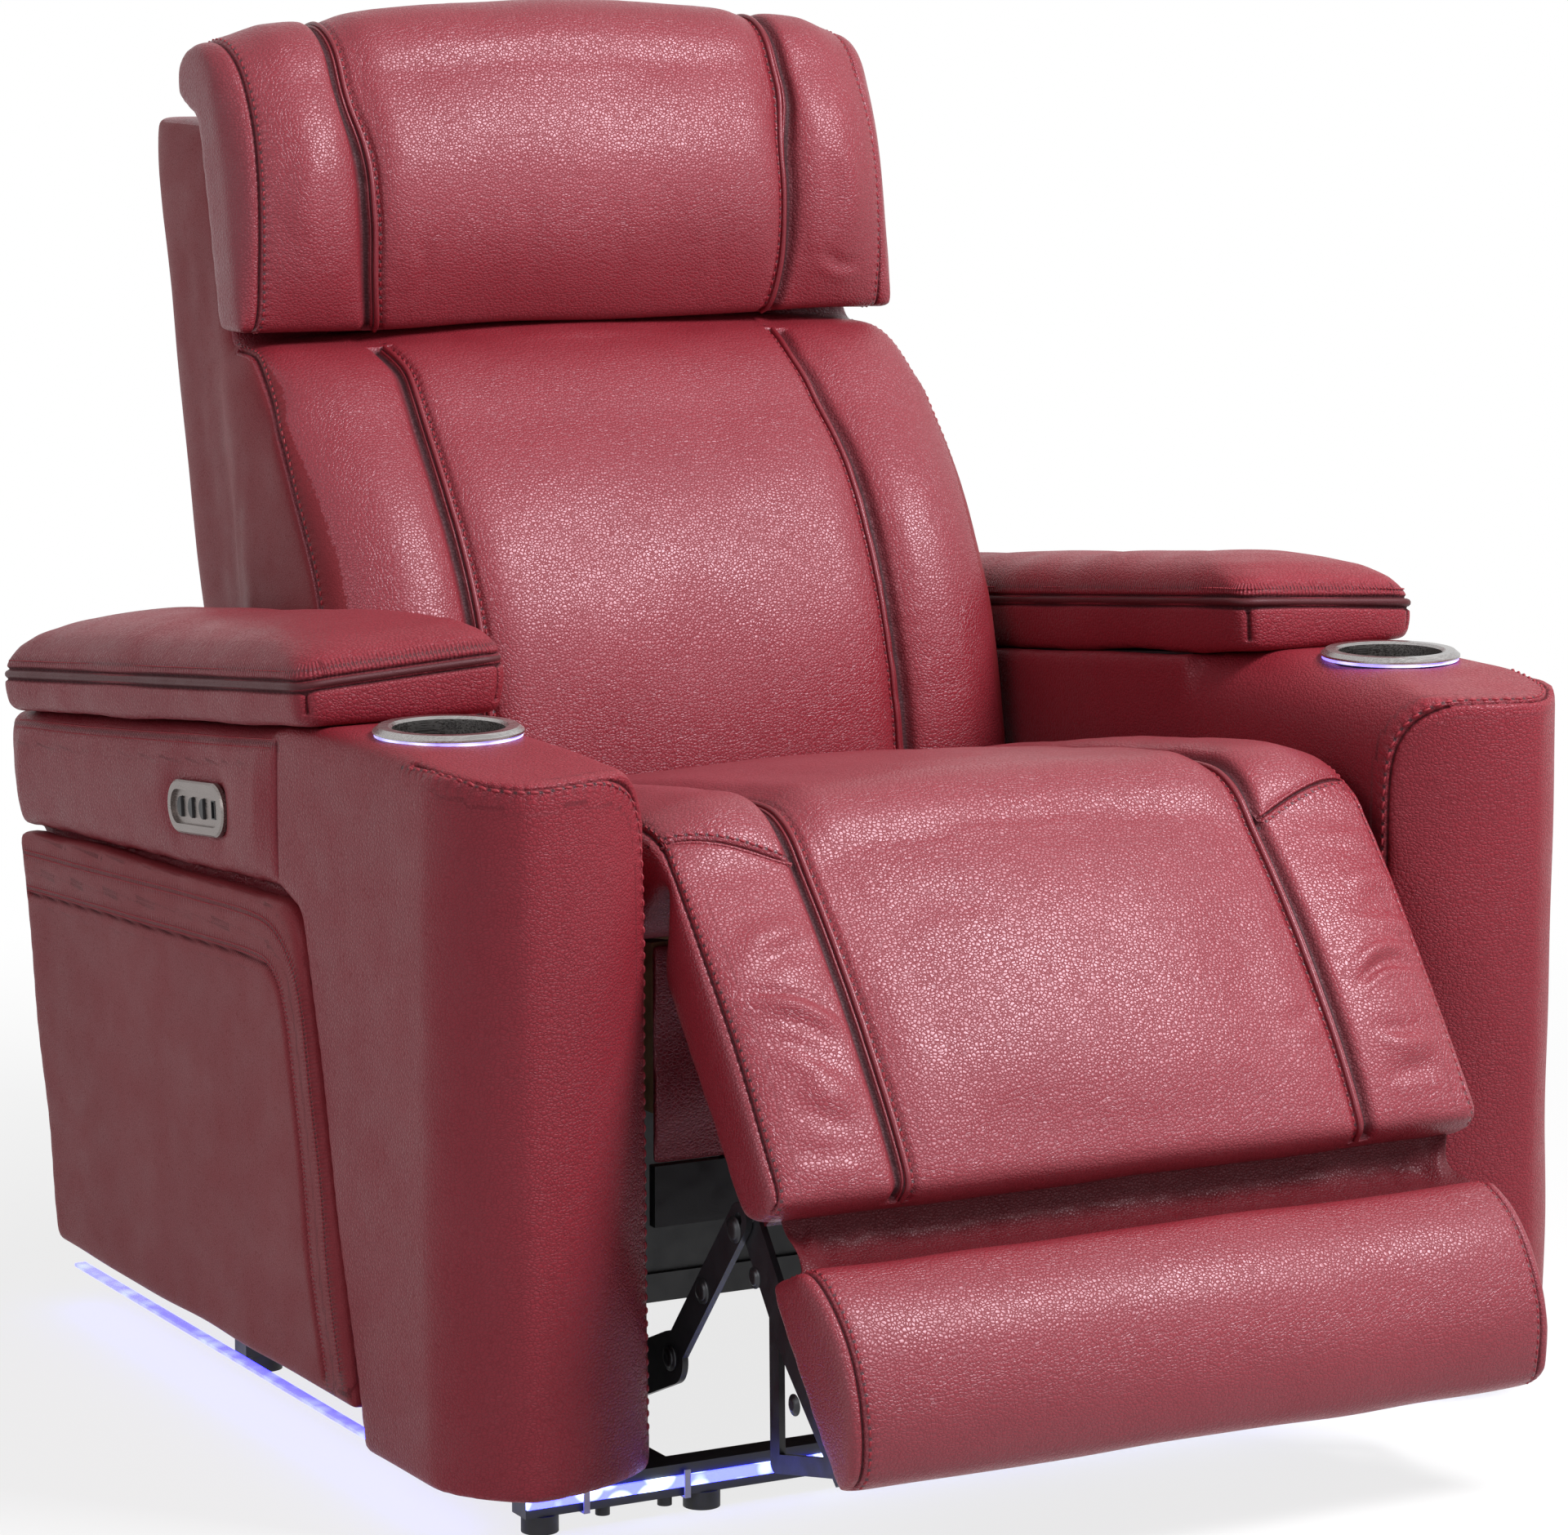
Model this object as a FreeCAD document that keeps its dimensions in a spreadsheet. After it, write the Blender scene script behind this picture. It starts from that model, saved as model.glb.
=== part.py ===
import FreeCAD, Part
import math
import os
import Sketcher

# Power recliner with storage arms, in millimetres.
# The chair faces -Y and stands on Z = 0. X = 0 is its middle plane, and +X is the sitter's left.
# It is modelled with the footrest part open, as it is seen most often in a showroom.
# Depths are measured backwards from the front of the arms, which lies at Y = front_y.

V = FreeCAD.Vector
doc = FreeCAD.newDocument("PowerRecliner")
sheet = doc.addObject("Spreadsheet::Sheet", "Sizes")

SIZES = [
    ("front_y", -375.3, "place of the arm fronts, which centres the chair over its origin"),
    ("arm_in", 322, "middle plane to the inner face of an arm"),
    ("arm_out", 490, "middle plane to the outer face of an arm"),
    ("arm_low", 38, "underside of the arms and top of the base rails"),
    ("box_low", 66, "underside of the arms behind their front pillars"),
    ("deck_top", 575.5, "top of the arm round the cup holder"),
    ("deck_from", 71, "depth where the level deck begins"),
    ("deck_to", 204, "depth where the level deck ends"),
    ("brow_drop", 11.5, "how far the deck falls towards its front seam"),
    ("arm_fall", 6.39, "slope of the arm top down to the rear, degrees"),
    ("arm_rear", 855, "depth of the arm at its rear top corner"),
    ("rear_lean", 12, "lean of the arm's rear face, degrees"),
    ("pillar_low", 145.5, "depth of the front pillar at the floor"),
    ("pillar_waist", 249, "depth of the front pillar under the side band"),
    ("pillar_top", 292.5, "depth of the front pillar beside the side band"),
    ("waist_drop", 14, "height of the pillar's slanted shoulder"),
    ("pillar_bow", 41, "how far the pillar front bows forward"),
    ("bow_place", 116, "distance of the fullest point from the inner face"),
    ("corner_depth", 55, "depth where the round outer corner ends"),
    ("inner_round", 59, "radius of the pillar's inner top corner"),
    ("outer_round", 17, "radius of the arm's outer top corner"),
    ("skin", 21, "thickness of the padded side band and side panel"),
    ("band_low", 443.5, "underside of the side band at its front"),
    ("band_fall", 3.6, "slope of the band's underside, degrees"),
    ("shadow", 4, "open seam between band, panel and pillar"),
    ("panel_proud", 4, "how far the lower side panel stands proud"),
    ("panel_round", 40, "radius of the panel's front top corner"),
    ("pad_edge", 6, "softened edge of the padded side panels"),
    ("bin_wall", 23, "arm wall beside the storage bin"),
    ("bin_front", 315.5, "depth of the bin's front wall"),
    ("bin_rear", 796, "depth of the bin's rear wall"),
    ("bin_floor", 418, "height of the bin's underside"),
    ("liner", 3, "wall of the bin liner"),
    ("lid_inset", 6, "gap between the arm's inner face and the lid's inner edge"),
    ("lid_over", 13.5, "how far the lid stands out over the arm's outer face"),
    ("lid_front", 213, "depth of the lid's front edge"),
    ("lid_rear", 846, "depth of the lid's rear edge"),
    ("lid_taper", 10.5, "how far the lid border draws in at its foot"),
    ("lid_border", 43, "height of the lid's border up to its piping"),
    ("lid_crown", 41, "height of the lid's crown above the piping"),
    ("lid_corner", 15, "corner radius of the lid in plan"),
    ("lid_tilt", 11, "how much lower the lid's outer piping lies than the inner one"),
    ("soft_gap", 0.5, "rest gap between a lid and its arm"),
    ("knuckle", 5, "radius of the lid hinge knuckle"),
    ("hinge_set", 4, "space between the lid's foot and its hinge knuckle"),
    ("knuckle_length", 104.5, "length of the lid hinge"),
    ("cup_x", 418, "middle plane to the cup holder"),
    ("cup_y", 136, "depth of the cup holder"),
    ("cup_bore", 44.5, "radius of the hole for the cup"),
    ("cup_depth", 76, "depth of the cup below the deck"),
    ("cup_wall", 2.5, "wall of the steel cup"),
    ("ring_out", 56, "outer radius of the cup's steel rim"),
    ("ring_lift", 2.6, "thickness of the light ring under the rim"),
    ("ring_height", 5, "thickness of the steel rim"),
    ("cup_fit", 0.2, "gap round the cup in its hole"),
    ("rail_low", 13.5, "underside of the base rails, above the feet"),
    ("front_rail_x", 423, "half length of the front cross rail"),
    ("front_rail_y", 5.5, "depth of the front cross rail's face"),
    ("rail_deep", 23, "front to back size of a cross rail"),
    ("rear_rail_x", 427.5, "half length of the rear cross rail"),
    ("rear_rail_y", 514, "depth of the rear cross rail's face"),
    ("side_rail_in", 296, "middle plane to the inner face of a side rail"),
    ("side_rail_wide", 19, "width of a side rail"),
    ("foot_radius", 14, "radius of a foot"),
    ("foot_outer_x", 406, "middle plane to an outer foot"),
    ("foot_inner_x", 272, "middle plane to an inner foot"),
    ("leveller_radius", 5.5, "radius of a levelling screw"),
    ("leveller_low", 5, "height of a levelling screw's end"),
    ("leveller_x_a", 354.5, "middle plane to the outer levelling screw"),
    ("leveller_x_b", 303, "middle plane to the inner levelling screw"),
    ("strip_deep", 3, "depth of the light strip"),
    ("strip_low", 21, "underside of the light strip"),
    ("strip_tall", 8.5, "height of the light strip"),
    ("tie_wide", 5, "width of a cable tie"),
    ("tie_thick", 1.2, "thickness of a cable tie"),
    ("tie_x_a", 372.5, "place of the outer cable tie"),
    ("tie_x_b", 289, "place of the inner cable tie"),
    ("plate_in", 311.5, "middle plane to the inner face of a side plate"),
    ("plate", 4, "thickness of a side plate"),
    ("plate_toe", 60, "how far the plate's foot reaches in front of the drive tube"),
    ("plate_heel", 65, "how far the plate's foot ends in front of the recline pivot"),
    ("plate_lug", 40, "how far the plate reaches behind the recline pivot"),
    ("plate_rim", 32, "material over and under the recline pivot"),
    ("plate_cap", 26, "material over the drive tube"),
    ("plate_nose", 68, "how far the plate's nose reaches in front of the drive tube"),
    ("plate_jaw", 59, "how far the plate's nose lies under the drive tube"),
    ("eye_front", 24, "how far a back bracket reaches in front of its pivot"),
    ("eye_half", 14, "half height of the bracket's front end"),
    ("eye_back", 8, "where the bracket's end is fullest, in front of its pivot"),
    ("eye_tall", 27, "half height of the bracket where it is fullest"),
    ("arm_high", 150, "how far a bracket reaches up the back board"),
    ("arm_down", 60, "how far a bracket reaches down the back board"),
    ("arm_lap", 14, "how far a bracket laps over the back board"),
    ("drive_y", 123.5, "depth of the drive tube"),
    ("drive_z", 369.5, "height of the drive tube"),
    ("drive_radius", 11, "radius of the drive tube"),
    ("tube_space", 3, "space round the drive tube where it passes a rail"),
    ("journal", 8, "radius of the drive tube's end journals"),
    ("running", 0.05, "radial clearance of a running fit"),
    ("lever_length", 57, "length of the lever on the drive tube"),
    ("lever_turn", 48, "how far the lever points back from straight down, degrees"),
    ("lever_x", -104.5, "place of the lever"),
    ("link_in", 285, "middle plane to the inner face of the lower links"),
    ("link", 5, "thickness of a link"),
    ("link_space", 1, "gap between two links side by side"),
    ("link_half", 12.5, "half width of a link"),
    ("heel_half", 20, "half width of the lower link's rear part"),
    ("elbow_y", 131, "depth of the elbow between the links"),
    ("elbow_z", 70.5, "height of the elbow between the links"),
    ("bend_y", 32.5, "depth of the bend in the lower link"),
    ("bend_z", 112, "height of the bend in the lower link"),
    ("eye_y", -75.5, "depth of the lower link's upper eye"),
    ("eye_z", 241, "height of the lower link's upper eye"),
    ("pin", 5, "radius of a link pin"),
    ("fold_y", 2, "depth of the fold line between seat and footrest"),
    ("fold_z", 486.5, "height of the fold line"),
    ("pad_slope", 52.4, "slope of the footrest as modelled, degrees"),
    ("fold_gap", 0.6, "gap between the seat and the footrest pad at the fold"),
    ("mitre", 58, "how deep the mitre under the fold reaches"),
    ("pad_half", 308, "half width of the upper footrest pad"),
    ("pad_long", 271.5, "length of the upper footrest pad"),
    ("pad_thick", 58.5, "thickness of the footrest pads at their edges"),
    ("pad_swell", 16, "crown of the upper footrest pad"),
    ("board", 12, "thickness of the boards under the pads"),
    ("board_half", 281, "half width of the boards under the pads"),
    ("toe_half", 300, "half width of the lower footrest pad"),
    ("toe_start", 321, "distance from the fold to the lower pad"),
    ("toe_end", 475, "distance from the fold to the lower pad's end"),
    ("toe_skew", 15, "how far the lower pad's inner edge leans back"),
    ("toe_drop", 28.5, "how far the lower pad thins towards its end"),
    ("toe_swell", 22, "crown of the lower pad"),
    ("bracket_from", 249, "distance from the fold to the bracket's start"),
    ("bracket_to", 456, "distance from the fold to the bracket's end"),
    ("bracket_deep", 29.5, "depth of the bracket behind the boards"),
    ("brace_along", 405.5, "distance from the fold to the brace's point"),
    ("brace_deep", 87.5, "depth of the brace's point behind the boards"),
    ("slide_gap", 0.4, "running gap of sliding pieces"),
    ("seat_half", 309.5, "half width of the seat cushion"),
    ("seat_back", 520.5, "depth of the seat cushion's rear end"),
    ("seat_front_top", 518, "height of the seat's crest"),
    ("seat_rear_top", 454, "height of the seat at its rear"),
    ("knee", 76, "depth of the seat's crest"),
    ("seat_low_front", 423, "underside of the seat cushion at its front"),
    ("seat_low_rear", 366, "underside of the seat cushion at its rear"),
    ("seat_swell", 13.5, "crown of the seat cushion"),
    ("panel_seam", 194, "middle plane to the seams of the centre panels"),
    ("apron_low", 245.5, "lower edge of the front apron"),
    ("cross_tall", 47, "height of the cross rail under the apron"),
    ("cross_deep", 9, "thickness of the cross rail"),
    ("hanger_x", 205, "middle plane to a hanger of the cross rail"),
    ("hanger_wide", 24, "width of a hanger"),
    ("hanger_thick", 4, "thickness of a hanger"),
    ("dust_thick", 3, "thickness of the rear dust panel"),
    ("dust_top", 230, "upper edge of the rear dust panel"),
    ("apron_half", 277, "half width of the front apron"),
    ("frame_low", 285, "underside of the seat frame"),
    ("frame_half", 275.5, "half width of the seat frame"),
    ("frame_front", 87.5, "depth of the seat frame's front rail"),
    ("frame_rear", 494, "depth of the seat frame's rear rail"),
    ("timber", 20, "thickness of the seat frame's rails"),
    ("rear_timber", 25, "thickness of the seat frame's rear rail"),
    ("wire", 2, "radius of a seat support wire"),
    ("wire_pitch", 110, "distance between seat support wires"),
    ("wire_inset", 2, "how far a wire ends inside the frame"),
    ("rest_gap", 0.3, "gap that keeps resting pieces apart"),
    ("control_wide", 120, "width of the control box"),
    ("control_deep", 25, "depth of the control box"),
    ("control_tall", 30, "height of the control box"),
    ("control_lift", 5, "height of the control box over the frame's underside"),
    ("apron", 6, "thickness of the front apron"),
    ("hip_y", 617.5, "depth of the recline pivot"),
    ("hip_z", 380, "height of the recline pivot"),
    ("hip_radius", 87.5, "radius of the back cushion's foot about the pivot"),
    ("hip_pin", 6, "radius of the recline pins"),
    ("back_lean", 12.8, "lean of the back, degrees"),
    ("back_y", 722, "depth of the back board's face at hip height"),
    ("back_low", 285, "lower edge of the back board"),
    ("board_drop", 21, "how far the back board ends under the shell's top"),
    ("back_board", 18, "thickness of the back board"),
    ("back_half", 304, "half width of the back board"),
    ("shell_half", 297, "half width of the outer back shell"),
    ("shell_low", 218.5, "lower edge of the outer back shell"),
    ("shell_top", 990, "top of the outer back shell"),
    ("shell_y", 840, "depth of the shell's rear face at its lower edge"),
    ("shell_bulge", 10, "how full the shell's rear is between its edges"),
    ("shell_full", 790, "height where the shell is fullest"),
    ("shell_wall", 19, "wall of the outer back shell"),
    ("shell_round", 26.5, "radius of the shell's rear edges"),
    ("bracket_wide", 5, "thickness of a back bracket"),
    ("cushion_half", 316, "half width of the back cushion"),
    ("cushion_hidden", 445, "height under which the back cushion is narrower"),
    ("cushion_narrow", 302, "half width of the back cushion between its brackets"),
    ("cushion_drop", 180, "how far the back cushion ends under the shell's top"),
    ("lumbar_thick", 208.85, "thickness of the back cushion at its waist"),
    ("lumbar_drop", 226, "height of the back cushion's top over its waist"),
    ("shoulder_thick", 133.65, "thickness of the back cushion at its shoulder"),
    ("shoulder_drop", 64, "height of the back cushion's top over its shoulder"),
    ("brow_thick", 59.24, "thickness of the back cushion at its top"),
    ("cushion_swell", 11.5, "crown of the back cushion"),
    ("neck_out", 54.88, "distance of the headrest pivot from the back board's face"),
    ("neck_drop", 5, "how far the headrest pivot lies under the headrest"),
    ("head_half", 314, "half width of the headrest"),
    ("head_gap", 8, "gap between the back cushion and the headrest"),
    ("head_thick", 98.32, "thickness of the headrest where it is fullest"),
    ("head_fullest", 96, "height of the fullest front over the headrest's underside"),
    ("head_turn", 44.5, "how far under its top the headrest turns over"),
    ("head_rise", 94, "height of the headrest's top over the shell's top"),
    ("head_arch", 25, "how far the headrest's top falls from its middle to its ends"),
    ("head_behind", 32.41, "how far the headrest reaches back over the shell"),
    ("head_swell", 7.5, "crown of the headrest"),
    ("head_plate", 6, "thickness of the headrest's carrier plate"),
    ("head_space", 9, "space between headrest pad and back board"),
    ("arc_radius", 119, "radius of the headrest's curved guide arms"),
    ("arc_half", 5, "half thickness of a guide arm"),
    ("arc_x", 95, "middle plane to a guide arm"),
    ("arc_wide", 8, "width of a guide arm"),
    ("arc_tail", 4, "angle of a guide arm's tail above level, degrees"),
    ("arc_end", 52, "angle of a guide arm's end above level, degrees"),
    ("slot_low", 66, "lower end of a guide slot over the headrest pivot"),
    ("slot_tall", 48, "height of a guide slot"),
    ("slot_deep", 90, "depth of the cut that makes a guide slot"),
    ("head_motor_low", 160, "height of the headrest motor over the recline pivot"),
    ("head_motor_tall", 80, "height of the headrest motor's gearbox"),
    ("head_motor_deep", 36, "depth of the headrest motor's gearbox"),
    ("head_motor_wide", 44, "width of the headrest motor's gearbox"),
    ("head_rail_set", 12, "distance of the headrest motor's rail from the back board"),
    ("head_rail_deep", 14, "depth of the headrest motor's rail"),
    ("head_rail_wide", 18, "width of the headrest motor's rail"),
    ("head_rail_over", 40, "how far the rail ends over the headrest pivot"),
    ("head_block_low", 90, "height of the carriage over the headrest motor's foot"),
    ("head_block_tall", 40, "height of the headrest motor's carriage"),
    ("head_block_skin", 8, "material round the rail in the headrest carriage"),
    ("head_block_side", 11, "material beside the rail in the headrest carriage"),
    ("motor_x", 104.5, "middle plane to a motor rail"),
    ("motor_rail", 20, "width of a motor rail"),
    ("motor_rail_low", 228, "underside of a motor rail"),
    ("motor_rail_tall", 18, "height of a motor rail"),
    ("motor_set", 8, "space between the front apron and the recline motor"),
    ("gearbox_long", 38, "length of a motor gearbox"),
    ("gearbox_low", 204, "underside of a motor gearbox"),
    ("gearbox_wide", 57, "width of a motor gearbox"),
    ("can_radius", 24, "radius of a motor can"),
    ("can_long", 85.5, "length of a motor can"),
    ("carriage_wide", 44, "width of a motor carriage"),
    ("carriage_long", 45, "length of a motor carriage"),
    ("carriage_skin", 11, "material round the rail in a carriage"),
    ("legrest_carriage_y", 285, "depth of the footrest carriage"),
    ("recline_carriage_y", 380, "depth of the recline carriage"),
    ("switch_y", 440, "depth of the switch plate's centre"),
    ("switch_z", 481.5, "height of the switch plate's centre"),
    ("switch_tilt", 5.5, "tilt of the switch plate, degrees"),
    ("bezel_long", 112, "length of the switch bezel"),
    ("bezel_tall", 42, "height of the switch bezel"),
    ("bezel_wide", 7.5, "width of the bezel's frame"),
    ("bezel_proud", 5, "how far the bezel stands proud"),
    ("panel_set", 2, "how far the switch panel stands proud"),
    ("switch_deep", 14, "depth of the switch body"),
    ("switch_wall", 2, "wall behind the buttons"),
    ("pocket_play", 0.5, "gap round the switch body in the arm"),
    ("usb_place", 31.9, "distance of the charging socket from the switch centre"),
    ("button_radius", 8.5, "radius of a button's round side"),
    ("button_pitch", 22, "distance between buttons"),
    ("button_proud", 4, "how far a button stands proud"),
    ("button_gap", 0.4, "gap round a button"),
    ("button_travel", 2.5, "travel of a button"),
    ("usb_tall", 14.6, "height of the charging socket"),
    ("usb_wide", 7.2, "width of the charging socket"),
    ("usb_wall", 0.9, "wall of the charging socket"),
    ("inlet_x", -237.5, "place of the power inlet"),
    ("inlet_wide", 30, "width of the power inlet"),
    ("inlet_deep", 22, "depth of the power inlet"),
    ("inlet_bore", 5, "half size of the inlet's socket"),
    ("inlet_rim", 3, "how far the inlet stays inside the rail's height"),
    ("inlet_back", 6, "wall behind the inlet's socket"),
]


class Size:
    """A size that carries its number and the sheet expression that gives it."""

    def __init__(self, text, value):
        self.text = text
        self.value = value

    def __add__(self, other):
        return joined(self, "+", other, self.value + number(other))

    def __radd__(self, other):
        return joined(other, "+", self, number(other) + self.value)

    def __sub__(self, other):
        return joined(self, "-", other, self.value - number(other))

    def __rsub__(self, other):
        return joined(other, "-", self, number(other) - self.value)

    def __mul__(self, other):
        return joined(self, "*", other, self.value * number(other))

    def __rmul__(self, other):
        return joined(other, "*", self, number(other) * self.value)

    def __neg__(self):
        return Size("(0 - %s)" % self.text, -self.value)


class Table:
    """The sheet's sizes by name."""


def number(item):
    return item.value if isinstance(item, Size) else float(item)


def text_of(item):
    return item.text if isinstance(item, Size) else repr(float(item))


def joined(left, sign, right, value):
    return Size("(%s %s %s)" % (text_of(left), sign, text_of(right)), value)


def tangent(angle):
    return Size("tan(%s)" % angle.text, math.tan(math.radians(angle.value)))


S = Table()
for row, (alias, amount, meaning) in enumerate(SIZES, 1):
    sheet.set("A%d" % row, meaning)
    sheet.set("B%d" % row, str(amount))
    sheet.setAlias("B%d" % row, alias)
    setattr(S, alias, Size("Sizes.%s" % alias, float(amount)))
doc.recompute()

nodes = []
own_y = {}


# Building helpers

def bind(thing, path, amount):
    """Set a property from a size, as an expression where it depends on the sheet."""
    if isinstance(amount, Size):
        thing.setExpression(path, amount.text)
    else:
        thing.setExpression(path, repr(float(amount)))


def place(thing, x, y, z):
    bind(thing, "Placement.Base.x", x)
    bind(thing, "Placement.Base.y", y)
    bind(thing, "Placement.Base.z", z)
    own_y[thing.Name] = y


def box(name, x, y, z, wide, deep, tall):
    """A box from its lowest corner and its sizes along X, Y and Z."""
    thing = doc.addObject("Part::Box", name)
    bind(thing, "Length", wide)
    bind(thing, "Width", deep)
    bind(thing, "Height", tall)
    place(thing, x, y, z)
    return thing


def rod(name, axis, radius, length, x, y, z):
    """A round bar that starts at a point and runs along +X, +Y or +Z."""
    thing = doc.addObject("Part::Cylinder", name)
    bind(thing, "Radius", radius)
    bind(thing, "Height", length)
    turns = {"X": FreeCAD.Rotation(V(0, 1, 0), 90), "Y": FreeCAD.Rotation(V(1, 0, 0), -90)}
    if axis in turns:
        thing.Placement = FreeCAD.Placement(V(0, 0, 0), turns[axis])
    place(thing, x, y, z)
    return thing


def cut(name, base, *tools):
    result = base
    for index, tool in enumerate(tools):
        last = index == len(tools) - 1
        step = doc.addObject("Part::Cut", name if last else "%s_step%d" % (name, index))
        step.Base = result
        step.Tool = tool
        result = step
    return result


def fuse(name, pieces):
    thing = doc.addObject("Part::MultiFuse", name)
    thing.Shapes = pieces
    return thing


def group(name, pieces):
    thing = doc.addObject("Part::Compound", name)
    thing.Links = pieces
    return thing


def mirrored(name, source):
    thing = doc.addObject("Part::Mirroring", name)
    thing.Source = source
    thing.Normal = V(1, 0, 0)
    return thing


def shaped(name, shape):
    """A piece whose shape is made directly, still placed by the sheet."""
    thing = doc.addObject("Part::Feature", name)
    move = shape.Placement.toMatrix()
    shape.Placement = FreeCAD.Placement()
    thing.Shape = shape.transformed(move, copy=True)
    return thing


def keep(thing):
    """Count a piece as a sub-part and set it back from the arm fronts."""
    bind(thing, "Placement.Base.y", S.front_y + own_y.get(thing.Name, 0))
    nodes.append(thing)
    return thing


def keep_pair(name, maker):
    """Build a piece for the +X side and its mirror image for the -X side."""
    left = keep(maker("left_" + name))
    nodes.append(mirrored("right_" + name, left))


def keep_both(name, maker):
    """Build a piece and its mirror image as one sub-part of two alike."""
    left = maker(name + "_left")
    keep(group(name, [left, mirrored(name + "_right", left)]))


def outline_sketch(body, name, plane, corners):
    """A closed outline of straight runs whose every corner is set by the sheet."""
    sketch = body.newObject("Sketcher::SketchObject", name)
    support = [item for item in body.Origin.OriginFeatures if item.Role == plane][0]
    sketch.AttachmentSupport = [(support, "")]
    sketch.MapMode = "FlatFace"
    count = len(corners)
    for index in range(count):
        here = corners[index]
        there = corners[(index + 1) % count]
        start = V(number(here[0]), number(here[1]), 0)
        end = V(number(there[0]), number(there[1]), 0)
        sketch.addGeometry(Part.LineSegment(start, end))
    for index in range(count):
        sketch.addConstraint(Sketcher.Constraint("Coincident", index, 2, (index + 1) % count, 1))
    for index, corner in enumerate(corners):
        pin_down(sketch, index, "DistanceX", corner[0], -2)
        pin_down(sketch, index, "DistanceY", corner[1], -1)
    return sketch


def pin_down(sketch, index, kind, amount, axis):
    if not isinstance(amount, Size) and amount == 0:
        sketch.addConstraint(Sketcher.Constraint("PointOnObject", index, 1, axis))
        return
    spot = sketch.addConstraint(Sketcher.Constraint(kind, -1, 1, index, 1, number(amount)))
    if isinstance(amount, Size):
        sketch.setExpression("Constraints[%d]" % spot, amount.text)


def prism(name, corners, start, depth, rounds=()):
    """A plate or block: an outline in depth and height, padded along +X from start."""
    body = doc.addObject("PartDesign::Body", name)
    sketch = outline_sketch(body, name + "_outline", "YZ_Plane", corners)
    pad = body.newObject("PartDesign::Pad", name + "_pad")
    pad.Profile = sketch
    bind(pad, "Length", depth)
    bind(body, "Placement.Base.x", start)
    doc.recompute()
    for corner, radius in rounds:
        spot = corners[corner]
        near = V(0, number(spot[0]), number(spot[1]))
        round_edges(body, radius, lambda edge: runs_along_x(edge, near))
    return body


def runs_along_x(edge, near):
    first, last = edge.Vertexes[0].Point, edge.Vertexes[-1].Point
    same = abs(first.y - near.y) + abs(first.z - near.z) + abs(last.y - near.y) + abs(last.z - near.z)
    return same < 0.01 and abs(first.x - last.x) > 1


def round_edges(body, radius, wanted):
    """Fillet those edges of the body's last shape that the test picks."""
    base = body.Tip
    picked = []
    for index, edge in enumerate(base.Shape.Edges, 1):
        if wanted(edge):
            picked.append("Edge%d" % index)
    fillet = body.newObject("PartDesign::Fillet", body.Name + "_round")
    fillet.Base = (base, picked)
    bind(fillet, "Radius", radius)
    doc.recompute()


def turned(name, corners, x, y, z):
    """A ring or cup: an outline of radius and height, turned about an upright axis."""
    body = doc.addObject("PartDesign::Body", name)
    sketch = outline_sketch(body, name + "_outline", "XZ_Plane", corners)
    revolution = body.newObject("PartDesign::Revolution", name + "_turn")
    revolution.Profile = sketch
    revolution.ReferenceAxis = (sketch, ["V_Axis"])
    revolution.Angle = 360
    place(body, x, y, z)
    return body


# Shapes for soft and bent pieces

def flat_wire(place_point, start, runs):
    """A closed wire of lines and arcs, each run being an end or a middle and an end."""
    edges = []
    here = place_point(start)
    for run in runs:
        end = place_point(run[-1])
        if len(run) == 1:
            edges.append(Part.LineSegment(here, end).toShape())
        else:
            edges.append(Part.Arc(here, place_point(run[0]), end).toShape())
        here = end
    return Part.Wire(edges)


def crosswise(stations, profile):
    """A stuffed form: side profiles at stations along X, joined by a skin."""
    wires = []
    for x, swell in stations:
        start, runs = profile(swell, x)
        wires.append(flat_wire(lambda spot, at=x: V(at, spot[0], spot[1]), start, runs))
    return Part.makeLoft(wires, True, True)


GROOVE = 22


def panel_stations(half, seam, crown, pinch, ends):
    """Stations of a cushion with a centre panel and two side bolsters.

    Each station is a place along X and a swell; the swell is least along the two seams
    and draws in at both ends.
    """
    crest = 0.5 * (half + seam)
    near = GROOVE
    side = [(half - inset, swell) for inset, swell in ends]
    side += [(crest, 0.9 * crown), (seam + near, 0.75 * crown), (seam, pinch),
             (seam - near, 0.75 * crown), (0.5 * seam, 0.95 * crown)]
    left = [(-x, swell) for x, swell in side]
    return left + [(0, crown)] + side[::-1]


def bar(x, thick, here, there, half, hole_here=0, hole_there=0):
    """A flat link with round ends in a plane across X, with a hole at either end."""
    first = V(x, here[0], here[1])
    second = V(x, there[0], there[1])
    along = (second - first).normalize()
    across = V(1, 0, 0).cross(along)
    one = first + across * half
    two = second + across * half
    three = second - across * half
    four = first - across * half
    edges = [
        Part.LineSegment(one, two).toShape(),
        Part.Arc(two, second + along * half, three).toShape(),
        Part.LineSegment(three, four).toShape(),
        Part.Arc(four, first - along * half, one).toShape(),
    ]
    plate = Part.Face(Part.Wire(edges)).extrude(V(thick, 0, 0))
    for spot, radius in ((first, hole_here), (second, hole_there)):
        if radius:
            plate = plate.cut(Part.makeCylinder(radius, thick, spot, V(1, 0, 0)))
    return plate


def block(x0, x1, corners):
    """A solid between two planes across X with a straight-sided outline."""
    spots = [V(x0, number(y), number(z)) for y, z in corners]
    edges = Part.makePolygon(spots + [spots[0]])
    return Part.Face(edges).extrude(V(x1 - x0, 0, 0))


def both_sides(shape):
    """The shape and its mirror image in the middle plane."""
    return Part.makeCompound([shape, shape.mirror(V(0, 0, 0), V(1, 0, 0))])


# Lines that many pieces share

def arm_top(depth):
    return S.deck_top - tangent(S.arm_fall) * (depth - S.deck_to)


def arm_back(height):
    return S.arm_rear - tangent(S.rear_lean) * (arm_top(S.arm_rear) - height)


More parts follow.
